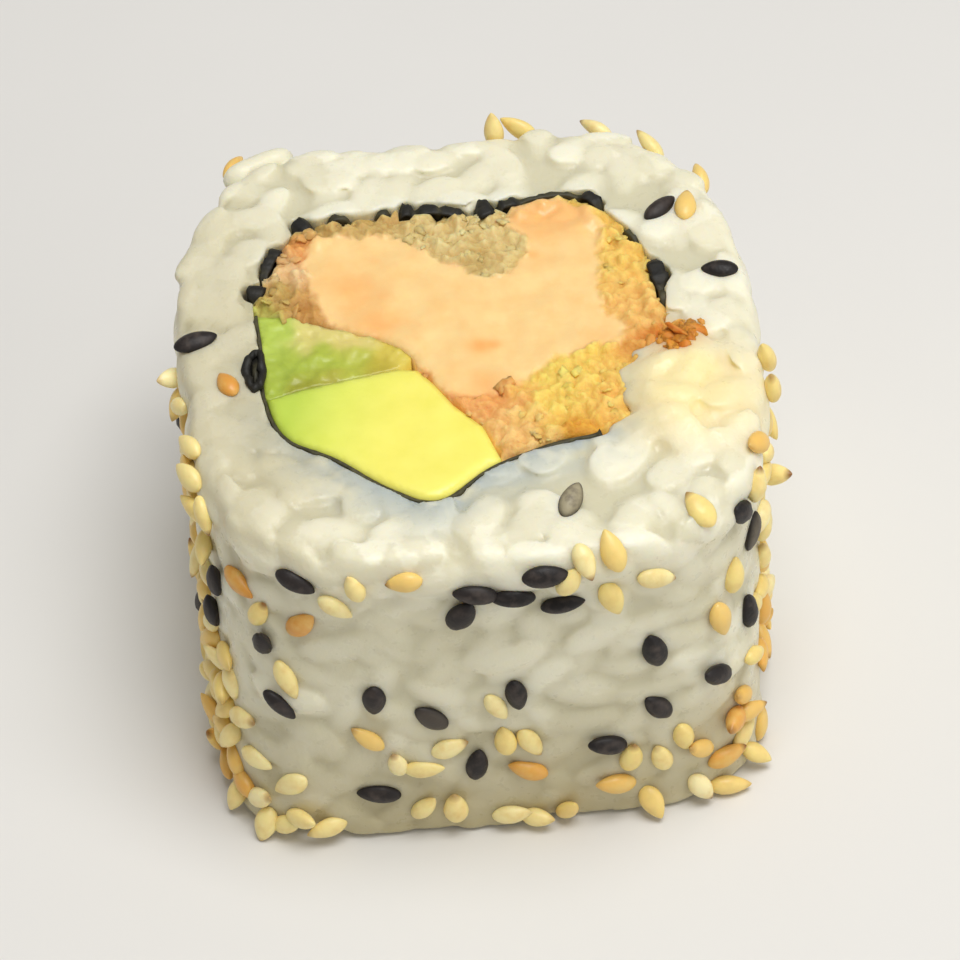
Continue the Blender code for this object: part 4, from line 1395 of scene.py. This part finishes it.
def make_crumbs(strip, rice, border, flesh):
    """Loose crumbs on the coat, and the browned ones that spilled on the rice."""
    draw = random.Random(RANDOM_SEED + 2)
    surface = surface_of(strip)
    spots = []
    low, high = border.min(axis=0), border.max(axis=0)
    while len(spots) < CRUMBS:
        tried = np.array([[draw.uniform(low[k], high[k]) for k in range(2)] for _ in range(CRUMB_TRIES)])
        kept = inside_loop(tried, border) & (coat_share(tried, flesh) > 0.6)
        spots += tried[kept].tolist()
    places = []
    for x, y in spots[:CRUMBS]:
        across = CRUMB_ACROSS * math.exp(draw.gauss(0, CRUMB_SPREAD))
        places.append((below(surface, x, y) - Vector((0, 0, 0.12 * across)), across))
    for _ in range(SPILL_CRUMBS):
        x, y = (draw.gauss(middle, width) for middle, width in zip(SPILL_MIDDLE, SPILL_SPREAD))
        hit = below(rice, x, y)
        if hit and hit.z > HEIGHT - MM:
            places.append((hit, SPILL_ACROSS * math.exp(draw.gauss(0, CRUMB_SPREAD))))
    plan = np.array([tuple(centre)[:2] for centre, _ in places])
    # The crumbs take the coat's colour under them, with its painted shade and light.
    colours = coat_colours(plan)
    forms = crumb_forms(draw)
    points, faces, paints = [], [], []
    total = 0
    for number, (centre, across) in enumerate(places):
        form, form_faces = forms[number % len(forms)]
        turned = Euler((draw.gauss(0, 0.35), draw.gauss(0, 0.35), draw.uniform(0, TURN))).to_matrix()
        size = [across * draw.uniform(0.9, 1.7), across, across * draw.uniform(0.4, 0.65)]
        copy, copy_faces = stamp((form, form_faces), [(centre, turned, size)])
        points.append(copy[0])
        faces.append(copy_faces + total)
        total += len(form)
        shade = draw.gauss(1.0, 0.06)
        colour = held(colours[number] * [shade, shade ** 1.2, shade ** 1.5, 1])
        paints.append(np.tile(colour, (len(form), 1)))
    layers = {"paint": np.vstack(paints)}
    return new_piece("loose_crumbs", np.vstack(points), np.vstack(faces), crumb_finish(), layers)


def edge_rounding(points, outline, drop, reach):
    """How far a cut's surface falls towards its edge."""
    return drop * held(1 - loop_distance(points, outline) / reach) ** 2


def make_wedge(outline):
    """The ripe wedge: green by the skin at the left, yellow towards the front right."""
    border = offset_loop(respaced(outline, BORDER_SPACING), -NORI_ROOM)

    def relief(points):
        rise = -WEDGE_SLOPE * points[:, 1] - WEDGE_DROP
        rise += 0.08 * MM * waves(points, 3 * MM)
        return rise - edge_rounding(points, border, 0.25 * MM, 0.8 * MM)

    points, faces = strip_form(border, WEDGE_SPACING, relief)
    ripe = (points[:, 0] + 12.6 * MM) / (8.5 * MM) - 0.15 * (points[:, 1] + 7 * MM) / (4 * MM)
    tones = np.array([srgb(*tone) for tone in WEDGE_TONES])
    paint = np.stack([np.interp(held(ripe), (0, WEDGE_LIME_AT, 1), tone) for tone in tones.T], axis=1)
    return new_piece("avocado_wedge_cut", points, faces, avocado_finish("avocado_yellow"), {"paint": paint})


def make_slice(outline):
    """The greener slice behind the wedge, smeared with the coat's crumbs."""
    border = offset_loop(respaced(outline, BORDER_SPACING), SLICE_LAP)

    def relief(points):
        rise = SLICE_WAVE * waves(points, SLICE_WAVE_LENGTH) - SLICE_DROP
        return rise + (0.25 * waves(points, 1.2 * MM) + 0.14 * waves(points, 0.5 * MM)) * MM

    points, faces = strip_form(border, SLICE_SPACING, relief)
    paint = blended(points[:, :2], SLICE_TONES, 1.1 * MM)
    finish = avocado_finish("avocado_green_cut")
    return new_piece("avocado_slice_cut", points, faces, finish, {"paint": paint})


# The stage.


def make_stage():
    bpy.ops.mesh.primitive_plane_add(size=FLOOR_SIZE, location=(0, 0, -FLOOR_GAP))
    floor = bpy.context.object
    floor.name = "floor"
    made, tree, shader = new_finish("floor_pale", 0.6)
    colour = mix(tree, noise_of(tree, 60 * MM, 3), (232, 230, 226), (226, 224, 220))
    finish_colour(tree, shader, colour, noise_of(tree, 8 * MM, 3), (0.55, 0.7))
    floor.data.materials.append(made)

    world = bpy.data.worlds.new("studio")
    world.use_nodes = True
    background = world.node_tree.nodes["Background"]
    background.inputs["Color"].default_value = SKY_COLOUR
    background.inputs["Strength"].default_value = SKY_STRENGTH
    bpy.context.scene.world = world
    add_light("overhead", (0.1, -0.07, 0.55), 0.32, 2.45)
    add_light("front_fill", (0.5, -0.38, 0.22), 0.5, 0.8)


def add_light(name, place, size, power):
    """A square soft light that faces the piece."""
    data = bpy.data.lights.new(name, "AREA")
    data.shape = "SQUARE"
    data.size = size
    data.energy = power
    aim = Vector((0, 0, 0.5 * HEIGHT)) - Vector(place)
    placed(name, data, place).rotation_euler = aim.to_track_quat("-Z", "Y").to_euler()


def make_camera():
    data = bpy.data.cameras.new("camera")
    data.lens = LENS
    data.sensor_width = SENSOR
    away = Vector((0, -math.cos(CAMERA_ELEVATION), math.sin(CAMERA_ELEVATION)))
    place = CAMERA_TARGET + CAMERA_DISTANCE * away
    forward = (AIM - place).normalized()
    level = forward.cross(Vector((0, 0, 1))).normalized()
    upright = level.cross(forward)
    right = level * math.cos(CAMERA_ROLL) + upright * math.sin(CAMERA_ROLL)
    up = upright * math.cos(CAMERA_ROLL) - level * math.sin(CAMERA_ROLL)
    turned = Matrix((right, up, -forward)).transposed()
    camera = placed("camera", data, place - BASE_MIDDLE)
    camera.rotation_euler = turned.to_euler()
    bpy.context.scene.camera = camera


def main():
    for existing in list(bpy.data.objects):
        bpy.data.objects.remove(existing)
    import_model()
    make_camera()
    make_stage()
    bpy.context.scene.view_settings.view_transform = "Standard"
    filling = smooth_loop(FILLING_OUTLINE, LOOP_STEPS)
    salmon, wedge, flat_slice = filling_pieces(filling)
    rice = make_rice(filling)
    rice_surface = surface_of(rice)
    white, black = make_seeds(rice_surface)
    strip, crumbs = make_salmon(salmon, filling, rice_surface)
    finished = (
        (rice, "rice", "rice"),
        (white, "rice", "white_sesame"),
        (black, "rice", "black_sesame"),
        (make_nori(filling), "nori", "nori"),
        (strip, "breaded_salmon", "salmon"),
        (crumbs, "breaded_salmon", "crumb_coat"),
        (make_wedge(wedge), "avocado_wedge", "avocado_ripe"),
        (make_slice(flat_slice), "avocado_slice", "avocado_green"),
    )
    for piece, node, slot in finished:
        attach(piece, "root")
        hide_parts(node)


main()
